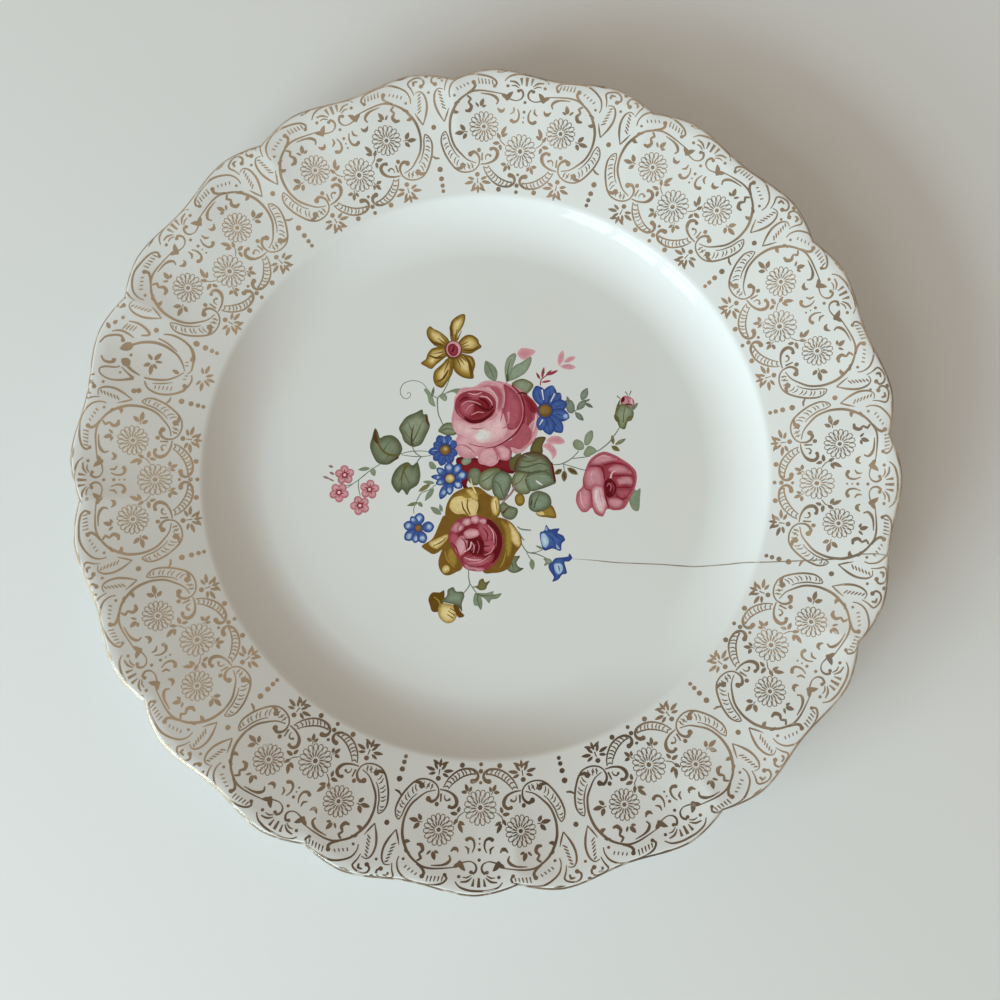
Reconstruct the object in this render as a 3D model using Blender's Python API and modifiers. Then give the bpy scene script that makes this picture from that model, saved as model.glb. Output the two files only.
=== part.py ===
# Scalloped dinner plate of glazed earthenware with one hairline crack.
# One fired body: flat well, curved wall, sloping brim with an ogee outline, foot ring.
# Metres, +Z up. The origin is on the plate's axis, on the surface that it stands on.

import math

import bmesh
import bpy

# Outline, measured over the lobes
LOBE_RADIUS = 0.127
SECTIONS = 12
NOTCH_DEPTH = 0.0029
SADDLE_DEPTH = 0.0022
LOBE_PLACE = 0.6          # share of the way from a section's middle to its notch
NOTCH_SHARPNESS = 1.5
SCALLOP_BAND = 0.032      # width of the brim's outer part that follows the outline

# Section of the body
RIM_HEIGHT = 0.022
WELL_EDGE_RADIUS = 0.08885
WELL_EDGE_HEIGHT = 0.013
WALL_RUN = 0.017          # how far the curved wall reaches in from the well's edge
FLOOR_HEIGHT = 0.006
WELL_THICKNESS = 0.0038
BRIM_THICKNESS = 0.0036
LIP_THICKNESS = 0.0030
EDGE_SOFTNESS = 0.0035    # half the width of the soft break between wall and brim

# Foot ring
FOOT_RADIUS = 0.0758
FOOT_WIDTH = 0.0036
FOOT_DRAFT = 0.0007
FOOT_CORNER = 0.0004

# Hairline crack: its route from the tip in the well out to the rim, seen from above
CRACK_ROUTE = [
    (0.0249, -0.0296),
    (0.0321, -0.0307),
    (0.0393, -0.0320),
    (0.0523, -0.0336),
    (0.0602, -0.0348),
    (0.0645, -0.0353),
    (0.0729, -0.0354),
    (0.0781, -0.0353),
    (0.0843, -0.0357),
    (0.0950, -0.0362),
    (0.1048, -0.0365),
    (0.1081, -0.0360),
    (0.1107, -0.0357),
    (0.1158, -0.0360),
]
CRACK_RIM_WIDTH = 0.00024
CRACK_TIP_WIDTH = 0.00008
CRACK_OVERRUN = 0.002     # how far the cutter runs past the body on every side

# Facets
STEPS_PER_SECTION = 16
WALL_STEPS = 4
EDGE_STEPS = 2
LIP_STEPS = 5
UNDERSIDE_STEPS = 3
UPPER_BAND_RINGS = (0.0, 0.4, 0.75)     # shares of the scalloped band's width
LOWER_BAND_RINGS = (0.7, 0.3)
SHARP_ANGLE = math.radians(35)
WELD = 0.000001

# Finish
GLAZE_COLOUR = (0.80, 0.79, 0.74, 1.0)
GILT_COLOUR = (0.52, 0.36, 0.16, 1.0)
STAIN_COLOUR = (0.20, 0.14, 0.09, 1.0)


def clear_scene():
    for old in list(bpy.data.objects):
        bpy.data.objects.remove(old, do_unlink=True)


def make_collection(name):
    group = bpy.data.collections.new(name)
    bpy.context.scene.collection.children.link(group)
    return group


def make_material(name, colour, roughness, metallic):
    material = bpy.data.materials.new(name)
    material.use_nodes = True
    shader = material.node_tree.nodes["Principled BSDF"]
    shader.inputs["Base Color"].default_value = colour
    shader.inputs["Roughness"].default_value = roughness
    shader.inputs["Metallic"].default_value = metallic
    material.diffuse_color = colour
    return material


def arc(centre, radius, start, end, steps):
    """Points on an arc in the section plane, both ends included; angles in radians."""
    points = []
    for i in range(steps + 1):
        angle = start + (end - start) * i / steps
        points.append((centre[0] + radius * math.cos(angle), centre[1] + radius * math.sin(angle)))
    return points


def soft_corner(before, corner, after, steps):
    """A quadratic curve that rounds a corner, both ends included."""
    points = []
    for i in range(steps + 1):
        t = i / steps
        weights = ((1 - t) ** 2, 2 * t * (1 - t), t ** 2)
        ends = (before, corner, after)
        points.append(tuple(sum(w * p[axis] for w, p in zip(weights, ends)) for axis in (0, 1)))
    return points


def wall_circle():
    """Centre, radius and swept angle of the arc that the wall's inner side follows."""
    rise = WELL_EDGE_HEIGHT - FLOOR_HEIGHT
    sweep = 2 * math.atan2(rise, WALL_RUN)
    radius = WALL_RUN / math.sin(sweep)
    centre = (WELL_EDGE_RADIUS - WALL_RUN, FLOOR_HEIGHT + radius)
    return centre, radius, sweep


def lip_centre():
    return LOBE_RADIUS - LIP_THICKNESS / 2, RIM_HEIGHT - LIP_THICKNESS / 2


def brim_slope():
    """Angle at which the brim's upper face rises from the well's edge to the lip's top."""
    return math.atan2(RIM_HEIGHT - WELL_EDGE_HEIGHT, lip_centre()[0] - WELL_EDGE_RADIUS)


def brim_point(radius):
    """The point of the brim's upper face at a radius, before the rim is shaped."""
    return radius, WELL_EDGE_HEIGHT + (radius - WELL_EDGE_RADIUS) * math.tan(brim_slope())


def band_radius(share):
    return LOBE_RADIUS - SCALLOP_BAND * (1 - share)


def upper_side():
    """Section of the face that shows, from the axis out to the start of the lip."""
    centre, radius, sweep = wall_circle()
    wall_end = -math.pi / 2 + sweep - EDGE_SOFTNESS / radius
    wall = arc(centre, radius, -math.pi / 2, wall_end, WALL_STEPS)
    brim_start = brim_point(WELL_EDGE_RADIUS + EDGE_SOFTNESS)
    edge = soft_corner(wall[-1], brim_point(WELL_EDGE_RADIUS), brim_start, EDGE_STEPS)
    rings = [band_radius(share) for share in UPPER_BAND_RINGS]
    brim = [brim_point(ring) for ring in rings if ring > brim_start[0]]
    return [(0.0, FLOOR_HEIGHT)] + wall + edge[1:] + brim


def lip_round():
    """Section of the rounded lip, from its highest point round to its lower side."""
    return arc(lip_centre(), LIP_THICKNESS / 2, math.pi / 2, brim_slope() - math.pi / 2, LIP_STEPS)


def lower_side():
    """Section of the underside, from the lip in to the top of the foot ring."""
    centre, radius, sweep = wall_circle()
    outer = radius + WELL_THICKNESS
    slope = brim_slope()
    lip = lip_round()[-1]
    above = brim_point(WELL_EDGE_RADIUS + EDGE_SOFTNESS)
    edge = (above[0] + BRIM_THICKNESS * math.sin(slope), above[1] - BRIM_THICKNESS * math.cos(slope))
    brim = []
    for share in LOWER_BAND_RINGS:
        ring = band_radius(share)
        if edge[0] < ring < lip[0]:
            part = (ring - edge[0]) / (lip[0] - edge[0])
            brim.append((ring, edge[1] + part * (lip[1] - edge[1])))
    wall_start = -math.pi / 2 + sweep - 2 * EDGE_SOFTNESS / outer
    wall_end = -math.pi / 2 + math.asin((FOOT_RADIUS + FOOT_DRAFT - centre[0]) / outer)
    return brim + [edge] + arc(centre, outer, wall_start, wall_end, UNDERSIDE_STEPS)


def foot_ring():
    """Section of the foot ring and of the recess inside it, in to the axis."""
    recess = FLOOR_HEIGHT - WELL_THICKNESS
    inner = FOOT_RADIUS - FOOT_WIDTH
    return [
        (FOOT_RADIUS, FOOT_CORNER),
        (FOOT_RADIUS - FOOT_CORNER, 0.0),
        (inner + FOOT_CORNER, 0.0),
        (inner, FOOT_CORNER),
        (inner - FOOT_DRAFT, recess),
        (0.0, recess),
    ]


def turned_body(group):
    """The body as the wheel leaves it, round, before the rim is shaped."""
    section = upper_side() + lip_round() + lower_side() + foot_ring()
    mesh = bpy.data.meshes.new("plate_section")
    edges = [(i, i + 1) for i in range(len(section) - 1)]
    mesh.from_pydata([(r, 0.0, z) for r, z in section], edges, [])
    profile = bpy.data.objects.new("plate_section", mesh)
    group.objects.link(profile)
    screw = profile.modifiers.new("turn", "SCREW")
    screw.steps = SECTIONS * STEPS_PER_SECTION
    screw.render_steps = screw.steps
    screw.use_merge_vertices = True
    screw.merge_threshold = WELD
    bpy.context.view_layer.update()
    evaluated = profile.evaluated_get(bpy.context.evaluated_depsgraph_get())
    body = bpy.data.meshes.new_from_object(evaluated)
    bpy.data.objects.remove(profile, do_unlink=True)
    return body


def rim_cut_back(angle):
    """How far the rim lies inside the lobes' circle at an angle about the axis."""
    half = math.pi / SECTIONS
    across = abs((angle % (2 * half)) - half) / half
    if across < LOBE_PLACE:
        return SADDLE_DEPTH * (0.5 + 0.5 * math.cos(math.pi * across / LOBE_PLACE))
    return NOTCH_DEPTH * ((across - LOBE_PLACE) / (1 - LOBE_PLACE)) ** NOTCH_SHARPNESS


def shape_rim(mesh):
    """Draws the brim's outer band in to the ogee outline, more towards the lip."""
    shaped = bmesh.new()
    shaped.from_mesh(mesh)
    for vertex in shaped.verts:
        radius = math.hypot(vertex.co.x, vertex.co.y)
        share = min(1.0, (radius - band_radius(0.0)) / SCALLOP_BAND)
        if share > 0:
            fade = share * share * (3 - 2 * share)
            keep = 1 - rim_cut_back(math.atan2(vertex.co.y, vertex.co.x)) * fade / radius
            vertex.co.x *= keep
            vertex.co.y *= keep
    bmesh.ops.recalc_face_normals(shaped, faces=shaped.faces)
    shaped.to_mesh(mesh)
    shaped.free()


def crack_outline():
    """The crack's sliver seen from above: one side out to the rim, the other back."""
    notch_radius = LOBE_RADIUS - NOTCH_DEPTH
    route = [p for p in CRACK_ROUTE if math.hypot(*p) < notch_radius - CRACK_OVERRUN]
    reach = (LOBE_RADIUS + CRACK_OVERRUN) / math.hypot(*route[-1])
    route.append((route[-1][0] * reach, route[-1][1] * reach))
    left = []
    right = []
    for i, point in enumerate(route):
        before = route[max(i - 1, 0)]
        after = route[min(i + 1, len(route) - 1)]
        length = math.hypot(after[0] - before[0], after[1] - before[1])
        across = ((before[1] - after[1]) / length, (after[0] - before[0]) / length)
        share = i / (len(route) - 1)
        half = (CRACK_TIP_WIDTH + share * (CRACK_RIM_WIDTH - CRACK_TIP_WIDTH)) / 2
        left.append((point[0] + across[0] * half, point[1] + across[1] * half))
        right.append((point[0] - across[0] * half, point[1] - across[1] * half))
    return left + right[::-1]


def crack_cutter(group, material):
    """The sliver as a closed blade through the whole height of the plate."""
    outline = crack_outline()
    curve = bpy.data.curves.new("crack_outline", "CURVE")
    curve.dimensions = "2D"
    curve.fill_mode = "BOTH"
    curve.extrude = RIM_HEIGHT / 2 + CRACK_OVERRUN
    spline = curve.splines.new("POLY")
    spline.points.add(len(outline) - 1)
    for point, (x, y) in zip(spline.points, outline):
        point.co = (x, y, 0.0, 1.0)
    spline.use_cyclic_u = True
    flat = bpy.data.objects.new("crack_outline", curve)
    group.objects.link(flat)
    bpy.context.view_layer.update()
    evaluated = flat.evaluated_get(bpy.context.evaluated_depsgraph_get())
    mesh = bpy.data.meshes.new_from_object(evaluated)
    bpy.data.objects.remove(flat, do_unlink=True)
    welded = bmesh.new()
    welded.from_mesh(mesh)
    bmesh.ops.remove_doubles(welded, verts=welded.verts, dist=WELD)
    bmesh.ops.recalc_face_normals(welded, faces=welded.faces)
    welded.to_mesh(mesh)
    welded.free()
    mesh.materials.clear()
    mesh.materials.append(material)
    cutter = bpy.data.objects.new("crack_cutter", mesh)
    cutter.location.z = RIM_HEIGHT / 2
    cutter.hide_render = True
    cutter.display_type = "WIRE"
    group.objects.link(cutter)
    return cutter


def paint_lip(mesh, gilt_slot):
    """Gives the lip's upper round the gilt line."""
    lip_start = LOBE_RADIUS - NOTCH_DEPTH - LIP_THICKNESS / 2
    lip_height = RIM_HEIGHT - LIP_THICKNESS / 2
    for face in mesh.polygons:
        radius = math.hypot(face.center.x, face.center.y)
        if radius > lip_start and face.center.z > lip_height:
            face.material_index = gilt_slot


def make_plate(parts, cutters):
    mesh = turned_body(parts)
    mesh.name = "plate"
    shape_rim(mesh)
    mesh.materials.append(make_material("ivory_glaze", GLAZE_COLOUR, 0.12, 0.0))
    mesh.materials.append(make_material("worn_gilt", GILT_COLOUR, 0.35, 0.8))
    paint_lip(mesh, 1)
    plate = bpy.data.objects.new("plate", mesh)
    parts.objects.link(plate)
    stain = make_material("crack_stain", STAIN_COLOUR, 0.9, 0.0)
    crack = plate.modifiers.new("hairline_crack", "BOOLEAN")
    crack.operation = "DIFFERENCE"
    crack.solver = "EXACT"
    crack.material_mode = "TRANSFER"
    crack.object = crack_cutter(cutters, stain)
    mesh.shade_smooth()
    mesh.set_sharp_from_angle(angle=SHARP_ANGLE)
    return plate


def main():
    clear_scene()
    parts = make_collection("cracked_dinner_plate")
    cutters = make_collection("cutters")
    make_plate(parts, cutters)


main()
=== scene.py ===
# Looks of the cracked dinner plate: glaze, gilding, printed flowers, crack, floor and light.
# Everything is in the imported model's frame, in metres with +Z up.
# The gold border and the flowers are drawn in millimetres and laid on the plate afterwards.

import math

import bpy
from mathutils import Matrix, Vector, geometry


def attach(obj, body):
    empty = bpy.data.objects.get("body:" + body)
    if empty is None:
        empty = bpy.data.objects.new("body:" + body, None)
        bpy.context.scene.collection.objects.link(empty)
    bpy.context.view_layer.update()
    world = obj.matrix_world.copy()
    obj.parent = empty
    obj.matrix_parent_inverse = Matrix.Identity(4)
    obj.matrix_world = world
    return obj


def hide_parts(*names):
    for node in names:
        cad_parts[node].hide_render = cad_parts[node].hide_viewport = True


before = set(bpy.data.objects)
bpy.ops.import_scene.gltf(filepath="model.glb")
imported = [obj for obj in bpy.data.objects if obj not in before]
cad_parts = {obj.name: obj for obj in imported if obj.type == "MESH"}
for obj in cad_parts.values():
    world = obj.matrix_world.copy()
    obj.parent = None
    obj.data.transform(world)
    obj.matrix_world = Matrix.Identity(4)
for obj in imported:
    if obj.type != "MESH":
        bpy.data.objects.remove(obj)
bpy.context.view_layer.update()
millimetre = 0.001


class Wire:
    # one socket of a node tree; a sum written with it adds the Math nodes that the sum needs
    def __init__(self, graph, socket):
        self.graph = graph
        self.socket = socket

    def out(self, name):
        return Wire(self.graph, self.socket.node.outputs[name])

    def __add__(self, other):
        return self.graph.math("ADD", self, other)

    def __radd__(self, other):
        return self.graph.math("ADD", other, self)

    def __sub__(self, other):
        return self.graph.math("SUBTRACT", self, other)

    def __rsub__(self, other):
        return self.graph.math("SUBTRACT", other, self)

    def __mul__(self, other):
        return self.graph.math("MULTIPLY", self, other)

    def __rmul__(self, other):
        return self.graph.math("MULTIPLY", other, self)

    def __truediv__(self, other):
        return self.graph.math("DIVIDE", self, other)

    def __rtruediv__(self, other):
        return self.graph.math("DIVIDE", other, self)

    def __mod__(self, other):
        return self.graph.math("FLOORED_MODULO", self, other)

    def __pow__(self, other):
        return self.graph.math("POWER", self, other)

    def __neg__(self):
        return self.graph.math("MULTIPLY", self, -1.0)

    def __gt__(self, other):
        return self.graph.math("GREATER_THAN", self, other)

    def __lt__(self, other):
        return self.graph.math("LESS_THAN", self, other)


class Graph:
    # one node tree under construction, for shaders and for geometry alike
    def __init__(self, tree):
        self.tree = tree

    def add(self, kind, settings=None, inputs=None, output=0):
        node = self.tree.nodes.new(kind)
        for name, value in (settings or {}).items():
            setattr(node, name, value)
        for key, value in (inputs or {}).items():
            if isinstance(value, Wire):
                self.tree.links.new(value.socket, node.inputs[key])
            else:
                node.inputs[key].default_value = value
        return Wire(self, node.outputs[output]) if len(node.outputs) else node

    def math(self, operation, *values):
        return self.add("ShaderNodeMath", {"operation": operation}, dict(enumerate(values)))

    def between(self, value, low, high):
        # 0 below low, 1 above high and a soft step between them
        settings = {"interpolation_type": "SMOOTHSTEP"}
        return self.add("ShaderNodeMapRange", settings, {"Value": value, "From Min": low, "From Max": high})

    def blend(self, factor, first, second, mode="MIX"):
        settings = {"data_type": "RGBA", "blend_type": mode}
        return self.add("ShaderNodeMix", settings, {0: factor, 6: first, 7: second}, output=2)

    def split(self, vector):
        parts = self.add("ShaderNodeSeparateXYZ", inputs={0: vector})
        return parts, parts.out("Y"), parts.out("Z")

    def join(self, x, y, z):
        return self.add("ShaderNodeCombineXYZ", inputs={"X": x, "Y": y, "Z": z})


def newShapeTree(name, inputs):
    # an empty geometry tree with named inputs, and a wire for each of them
    tree = bpy.data.node_groups.new(name, "GeometryNodeTree")
    tree.interface.new_socket("Geometry", in_out="OUTPUT", socket_type="NodeSocketGeometry")
    for label, kind in inputs.items():
        tree.interface.new_socket(label, in_out="INPUT", socket_type="NodeSocket" + kind)
    graph = Graph(tree)
    source = tree.nodes.new("NodeGroupInput")
    return graph, {label: Wire(graph, source.outputs[label]) for label in inputs}


def endShapeTree(graph, geometry, material, smooth):
    whole = graph.add("GeometryNodeRealizeInstances", inputs={"Geometry": geometry})
    shaded = graph.add("GeometryNodeSetShadeSmooth", inputs={"Geometry": whole, "Shade Smooth": smooth})
    painted = graph.add("GeometryNodeSetMaterial", inputs={"Geometry": shaded, "Material": material})
    graph.add("NodeGroupOutput", inputs={"Geometry": painted})
    return graph.tree


def growPiece(name, tree, values):
    # runs a geometry tree once and keeps its result as a plain mesh
    piece = bpy.data.objects.new(name, bpy.data.meshes.new(name))
    bpy.context.collection.objects.link(piece)
    modifier = piece.modifiers.new(name, "NODES")
    modifier.node_group = tree
    for item in tree.interface.items_tree:
        if item.in_out == "INPUT":
            modifier[item.identifier] = values[item.name]
    depsgraph = bpy.context.evaluated_depsgraph_get()
    mesh = bpy.data.meshes.new_from_object(piece.evaluated_get(depsgraph), depsgraph=depsgraph)
    piece.modifiers.clear()
    piece.data = mesh
    mesh.name = name
    print(name, "has", sum(len(face.vertices) - 2 for face in mesh.polygons), "triangles")
    return piece


def helperObject(name, data):
    thing = bpy.data.objects.new(name, data)
    bpy.context.collection.objects.link(thing)
    return thing


def newFinish(name):
    material = bpy.data.materials.new(name)
    material.use_nodes = True
    material.node_tree.nodes.clear()
    return material, Graph(material.node_tree)


def endFinish(material, graph, inputs):
    shader = graph.add("ShaderNodeBsdfPrincipled", inputs=inputs)
    graph.add("ShaderNodeOutputMaterial", inputs={"Surface": shader})
    return material


def noise(graph, place, scale, detail):
    inputs = {"Vector": place, "Scale": scale, "Detail": detail}
    return graph.add("ShaderNodeTexNoise", {"noise_dimensions": "3D"}, inputs, "Fac")


def clouds(graph, place, scale, detail, low, high):
    # soft patches, 1 where the noise is above high
    return graph.between(noise(graph, place, scale, detail), low, high)


# an entry of clouds holds the noise's scale and detail and the values between which it fades in
glazeLook = {
    "ivory": (0.775, 0.785, 0.760, 1.0),
    "warm": (0.755, 0.750, 0.705, 1.0),       # where the glaze pools thicker
    "speck": (0.055, 0.045, 0.035, 1.0),
    "bareClay": (0.46, 0.36, 0.26, 1.0),
    "speckSpacing": 0.017,
    "speckSize": 0.00022,
    "speckShare": 0.8,
    "bareHeight": 0.0003,
    "poolClouds": (22.0, 3.0, 0.35, 0.75),
    "poolShare": 0.5,
    "wearClouds": (70.0, 4.0, 0.45, 0.8),
    "rough": 0.035,
    "roughWear": 0.03,
    "roughBare": 0.6,
    "rippleNoise": (45.0, 1.0),
    "rippleStrength": 0.15,
    "rippleDepth": 0.0002,
    "bend": 1.5,
}


def glazeFinish():
    look = glazeLook
    material, graph = newFinish("ivory_glaze")
    place = graph.add("ShaderNodeTexCoord").out("Object")
    height = graph.split(place)[2]
    pooled = clouds(graph, place, *look["poolClouds"])
    colour = graph.blend(pooled * look["poolShare"], look["ivory"], look["warm"])

    cells = {"Vector": place, "Scale": 1 / look["speckSpacing"]}
    specks = graph.add("ShaderNodeTexVoronoi", {"feature": "F1"}, cells)
    size = look["speckSize"] / look["speckSpacing"]
    near = 1 - graph.between(specks.out("Distance"), size * 0.5, size)
    colour = graph.blend(near * look["speckShare"], colour, look["speck"])

    bare = 1 - graph.between(height, look["bareHeight"] * 0.5, look["bareHeight"])
    colour = graph.blend(bare, colour, look["bareClay"])

    worn = clouds(graph, place, *look["wearClouds"])
    rough = look["rough"] + worn * look["roughWear"] + bare * look["roughBare"]
    ripple = noise(graph, place, *look["rippleNoise"])
    bump = graph.add("ShaderNodeBump", inputs={
        "Strength": look["rippleStrength"], "Distance": look["rippleDepth"], "Height": ripple,
    })
    return endFinish(material, graph, {
        "Base Color": colour, "Roughness": rough, "Normal": bump, "IOR": look["bend"],
    })


giltLook = {
    "bright": (0.62, 0.475, 0.335, 1.0),
    "brown": (0.31, 0.240, 0.170, 1.0),
    "wornThrough": (0.64, 0.60, 0.52, 1.0),
    "paintedShade": (0.45, 0.42, 0.40, 1.0),
    # painted highlight: a lighter, yellower gold mixed in on the side of the plate facing −X, where the
    # light falls
    "paintedHighlight": (0.70, 0.56, 0.38, 1.0),
    "paintedHighlightSide": (-0.985, 0.174, 0.0),
    "paintedHighlightSpan": (0.2, 0.9),
    "paintedHighlightShare": 0.5,
    "paintedShadeSide": (-0.087, -0.996, 0.0),       # towards the edge where the gilding is painted darker, as painted shade
    "paintedShadeSpan": (0.60, 0.97),
    "patchClouds": (60.0, 3.0, 0.35, 0.65),
    "thinNoise": (260.0, 3.0),
    "thinSpan": (0.62, 0.80),
    "thinShare": 0.7,
    "metal": 0.72,
    "metalLost": 0.5,
    "rough": 0.30,
    "roughPatch": 0.15,
}


# gilding: random patches and wear, plus a painted highlight on the side facing −X and painted shade on the
# side facing −Y
def giltFinish(name, wear):
    look = giltLook
    material, graph = newFinish(name)
    place = graph.add("ShaderNodeTexCoord").out("Object")
    patches = clouds(graph, place, *look["patchClouds"])
    colour = graph.blend(patches, look["bright"], look["brown"])
    thinFrom, thinTo = look["thinSpan"]
    thin = graph.between(noise(graph, place, *look["thinNoise"]), thinFrom - wear, thinTo - wear)
    facing = graph.add("ShaderNodeVectorMath", {"operation": "NORMALIZE"}, {0: place})

    def turnedTo(side):
        sides = {0: facing, 1: look[side]}
        return graph.add("ShaderNodeVectorMath", {"operation": "DOT_PRODUCT"}, sides, "Value")

    # painted highlight: gold on the side facing −X is mixed towards a lighter, yellower gold
    paintedHighlight = graph.between(turnedTo("paintedHighlightSide"), *look["paintedHighlightSpan"])
    colour = graph.blend(paintedHighlight * look["paintedHighlightShare"], colour, look["paintedHighlight"])
    # painted shade: gold on the side facing −Y is multiplied darker
    paintedShade = graph.between(turnedTo("paintedShadeSide"), *look["paintedShadeSpan"])
    colour = graph.blend(paintedShade, colour, look["paintedShade"], "MULTIPLY")
    colour = graph.blend(thin * look["thinShare"], colour, look["wornThrough"])
    metal = look["metal"] - thin * look["metalLost"]
    rough = look["rough"] + patches * look["roughPatch"]
    return endFinish(material, graph, {
        "Base Color": colour, "Metallic": metal, "Roughness": rough,
    })


plateSizes = {
    "lobeRadius": 0.127,
    "rimHeight": 0.022,
    "wellEdgeRadius": 0.08885,
    "wellEdgeHeight": 0.013,
    "wallRun": 0.0192,
    "floorHeight": 0.006,
    "wellThickness": 0.0038,
    "brimThickness": 0.0036,
    "lipThickness": 0.0030,
    "edgeSoftness": 0.0010,
    "footRadius": 0.0758,
    "footWidth": 0.0036,
    "footDraft": 0.0007,
    "footCorner": 0.0004,
    "stepsAround": 720,
    "mergeWithin": 1e-6,
    "sharpAngle": 50,
}

# into how many steps each stretch of the section is divided
sectionSteps = {
    "well": 6,
    "wall": 16,
    "edge": 8,
    "brim": 12,
    "lip": 14,
    "under": 9,
    "back": 10,
    "foot": 4,
    "recess": 4,
    "lipLine": 5,
}

rimRule = {
    "Lobe radius": plateSizes["lobeRadius"],
    "Sections": 12.0,
    "Notch depth": 0.0029,
    "Saddle depth": 0.0022,
    "Lobe place": 0.6,
    "Notch sharpness": 1.5,
    "Scallop band": 0.032,
}


def arcPoints(centre, radius, start, end, steps):
    angles = [start + (end - start) * i / steps for i in range(steps + 1)]
    return [(centre[0] + radius * math.cos(a), centre[1] + radius * math.sin(a)) for a in angles]


def softCorner(before, corner, after, steps):
    points = []
    for i in range(steps + 1):
        t = i / steps
        weights = ((1 - t) ** 2, 2 * t * (1 - t), t ** 2)
        corners = (before, corner, after)
        points.append(tuple(sum(w * p[k] for w, p in zip(weights, corners)) for k in (0, 1)))
    return points


def stretchPoints(start, end, steps):
    # evenly spaced points on a straight run, without its two ends
    return [tuple(a + (b - a) * i / steps for a, b in zip(start, end)) for i in range(1, steps)]


lipCentre = (plateSizes["lobeRadius"] - plateSizes["lipThickness"] / 2,
             plateSizes["rimHeight"] - plateSizes["lipThickness"] / 2)
brimSlope = math.atan2(plateSizes["rimHeight"] - plateSizes["wellEdgeHeight"],
                       lipCentre[0] - plateSizes["wellEdgeRadius"])


def brimPoint(radius):
    rise = (radius - plateSizes["wellEdgeRadius"]) * math.tan(brimSlope)
    return radius, plateSizes["wellEdgeHeight"] + rise


def bodySection():
    # the section of the solid, from the axis over the brim and lip and back under the plate
    s = plateSizes
    steps = sectionSteps
    rise = s["wellEdgeHeight"] - s["floorHeight"]
    sweep = 2 * math.atan2(rise, s["wallRun"])
    radius = s["wallRun"] / math.sin(sweep)
    centre = (s["wellEdgeRadius"] - s["wallRun"], s["floorHeight"] + radius)
    down = -math.pi / 2

    wall = arcPoints(centre, radius, down, down + sweep - s["edgeSoftness"] / radius, steps["wall"])
    brimStart = brimPoint(s["wellEdgeRadius"] + s["edgeSoftness"])
    edge = softCorner(wall[-1], brimPoint(s["wellEdgeRadius"]), brimStart, steps["edge"])
    lip = arcPoints(lipCentre, s["lipThickness"] / 2, math.pi / 2, brimSlope + down, steps["lip"])
    middle = (0.0, s["floorHeight"])
    upper = [middle] + stretchPoints(middle, wall[0], steps["well"]) + wall + edge[1:]
    upper += stretchPoints(brimStart, lip[0], steps["brim"])

    outer = radius + s["wellThickness"]
    under = (brimStart[0] + s["brimThickness"] * math.sin(brimSlope),
             brimStart[1] - s["brimThickness"] * math.cos(brimSlope))
    wallEnd = down + math.asin((s["footRadius"] + s["footDraft"] - centre[0]) / outer)
    back = arcPoints(centre, outer, down + sweep - 2 * s["edgeSoftness"] / outer, wallEnd, steps["back"])
    lower = stretchPoints(lip[-1], under, steps["under"]) + [under] + back

    footIn = s["footRadius"] - s["footWidth"]
    recess = s["floorHeight"] - s["wellThickness"]
    c = s["footCorner"]
    foot = softCorner((s["footRadius"], c), (s["footRadius"], 0.0), (s["footRadius"] - c, 0.0),
                      steps["foot"])
    foot += softCorner((footIn + c, 0.0), (footIn, 0.0), (footIn, c), steps["foot"])
    foot += softCorner((footIn - s["footDraft"], recess - c), (footIn - s["footDraft"], recess),
                       (footIn - s["footDraft"] - c, recess), steps["foot"])
    inner = stretchPoints(foot[-1], (0.0, recess), steps["recess"]) + [(0.0, recess)]
    return upper + lip + lower + foot + inner


def sectionObject(name, points):
    mesh = bpy.data.meshes.new(name)
    mesh.from_pydata([(r, 0.0, z) for r, z in points], [(i, i + 1) for i in range(len(points) - 1)], [])
    return helperObject(name, mesh)


def rimCutBack(graph, angle, rule):
    # how far the rim lies inside the circle of the lobes at an angle about the axis
    half = math.pi / rule["Sections"]
    across = graph.math("ABSOLUTE", angle % (half * 2) - half) / half
    place = rule["Lobe place"]
    saddle = rule["Saddle depth"] * (0.5 + 0.5 * graph.math("COSINE", across / place * math.pi))
    rest = graph.math("MAXIMUM", (across - place) / (1 - place), 0.0)
    notch = rule["Notch depth"] * rest ** rule["Notch sharpness"]
    return saddle * (across < place) + notch


def turnedTree():
    # turns a section about the axis and draws its outer band in to the scalloped outline
    labels = {"Section": "Object", "Steps around": "Int"}
    labels.update({label: "Float" for label in rimRule})
    labels["Material"] = "Material"
    graph, wires = newShapeTree("turned_and_scalloped", labels)
    section = graph.add("GeometryNodeObjectInfo", inputs={"Object": wires["Section"]}, output="Geometry")
    rows = graph.add("GeometryNodeAttributeDomainSize", inputs={"Geometry": section}, output="Point Count")
    grid = graph.add("GeometryNodeMeshGrid", inputs={
        "Size X": 1.0, "Size Y": 1.0, "Vertices X": wires["Steps around"] + 1, "Vertices Y": rows,
    })
    around, along = graph.split(grid.out("UV Map"))[:2]
    row = graph.math("ROUND", along * (rows - 1))
    spot = graph.add("GeometryNodeSampleIndex", {"data_type": "FLOAT_VECTOR"}, {
        "Geometry": section, "Value": graph.add("GeometryNodeInputPosition"), "Index": row,
    })
    radius, height = graph.split(spot)[::2]
    angle = around * (2 * math.pi)
    start = wires["Lobe radius"] - wires["Scallop band"]
    drawn = radius - rimCutBack(graph, angle, wires) * graph.between(radius, start, wires["Lobe radius"])
    turned = graph.join(drawn * graph.math("COSINE", angle), drawn * graph.math("SINE", angle), height)
    shaped = graph.add("GeometryNodeSetPosition", inputs={"Geometry": grid, "Position": turned})
    closed = graph.add("GeometryNodeMergeByDistance",
                       inputs={"Geometry": shaped, "Distance": plateSizes["mergeWithin"]})
    outward = graph.add("GeometryNodeFlipFaces", inputs={"Mesh": closed})
    return endShapeTree(graph, outward, wires["Material"], True)


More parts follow.
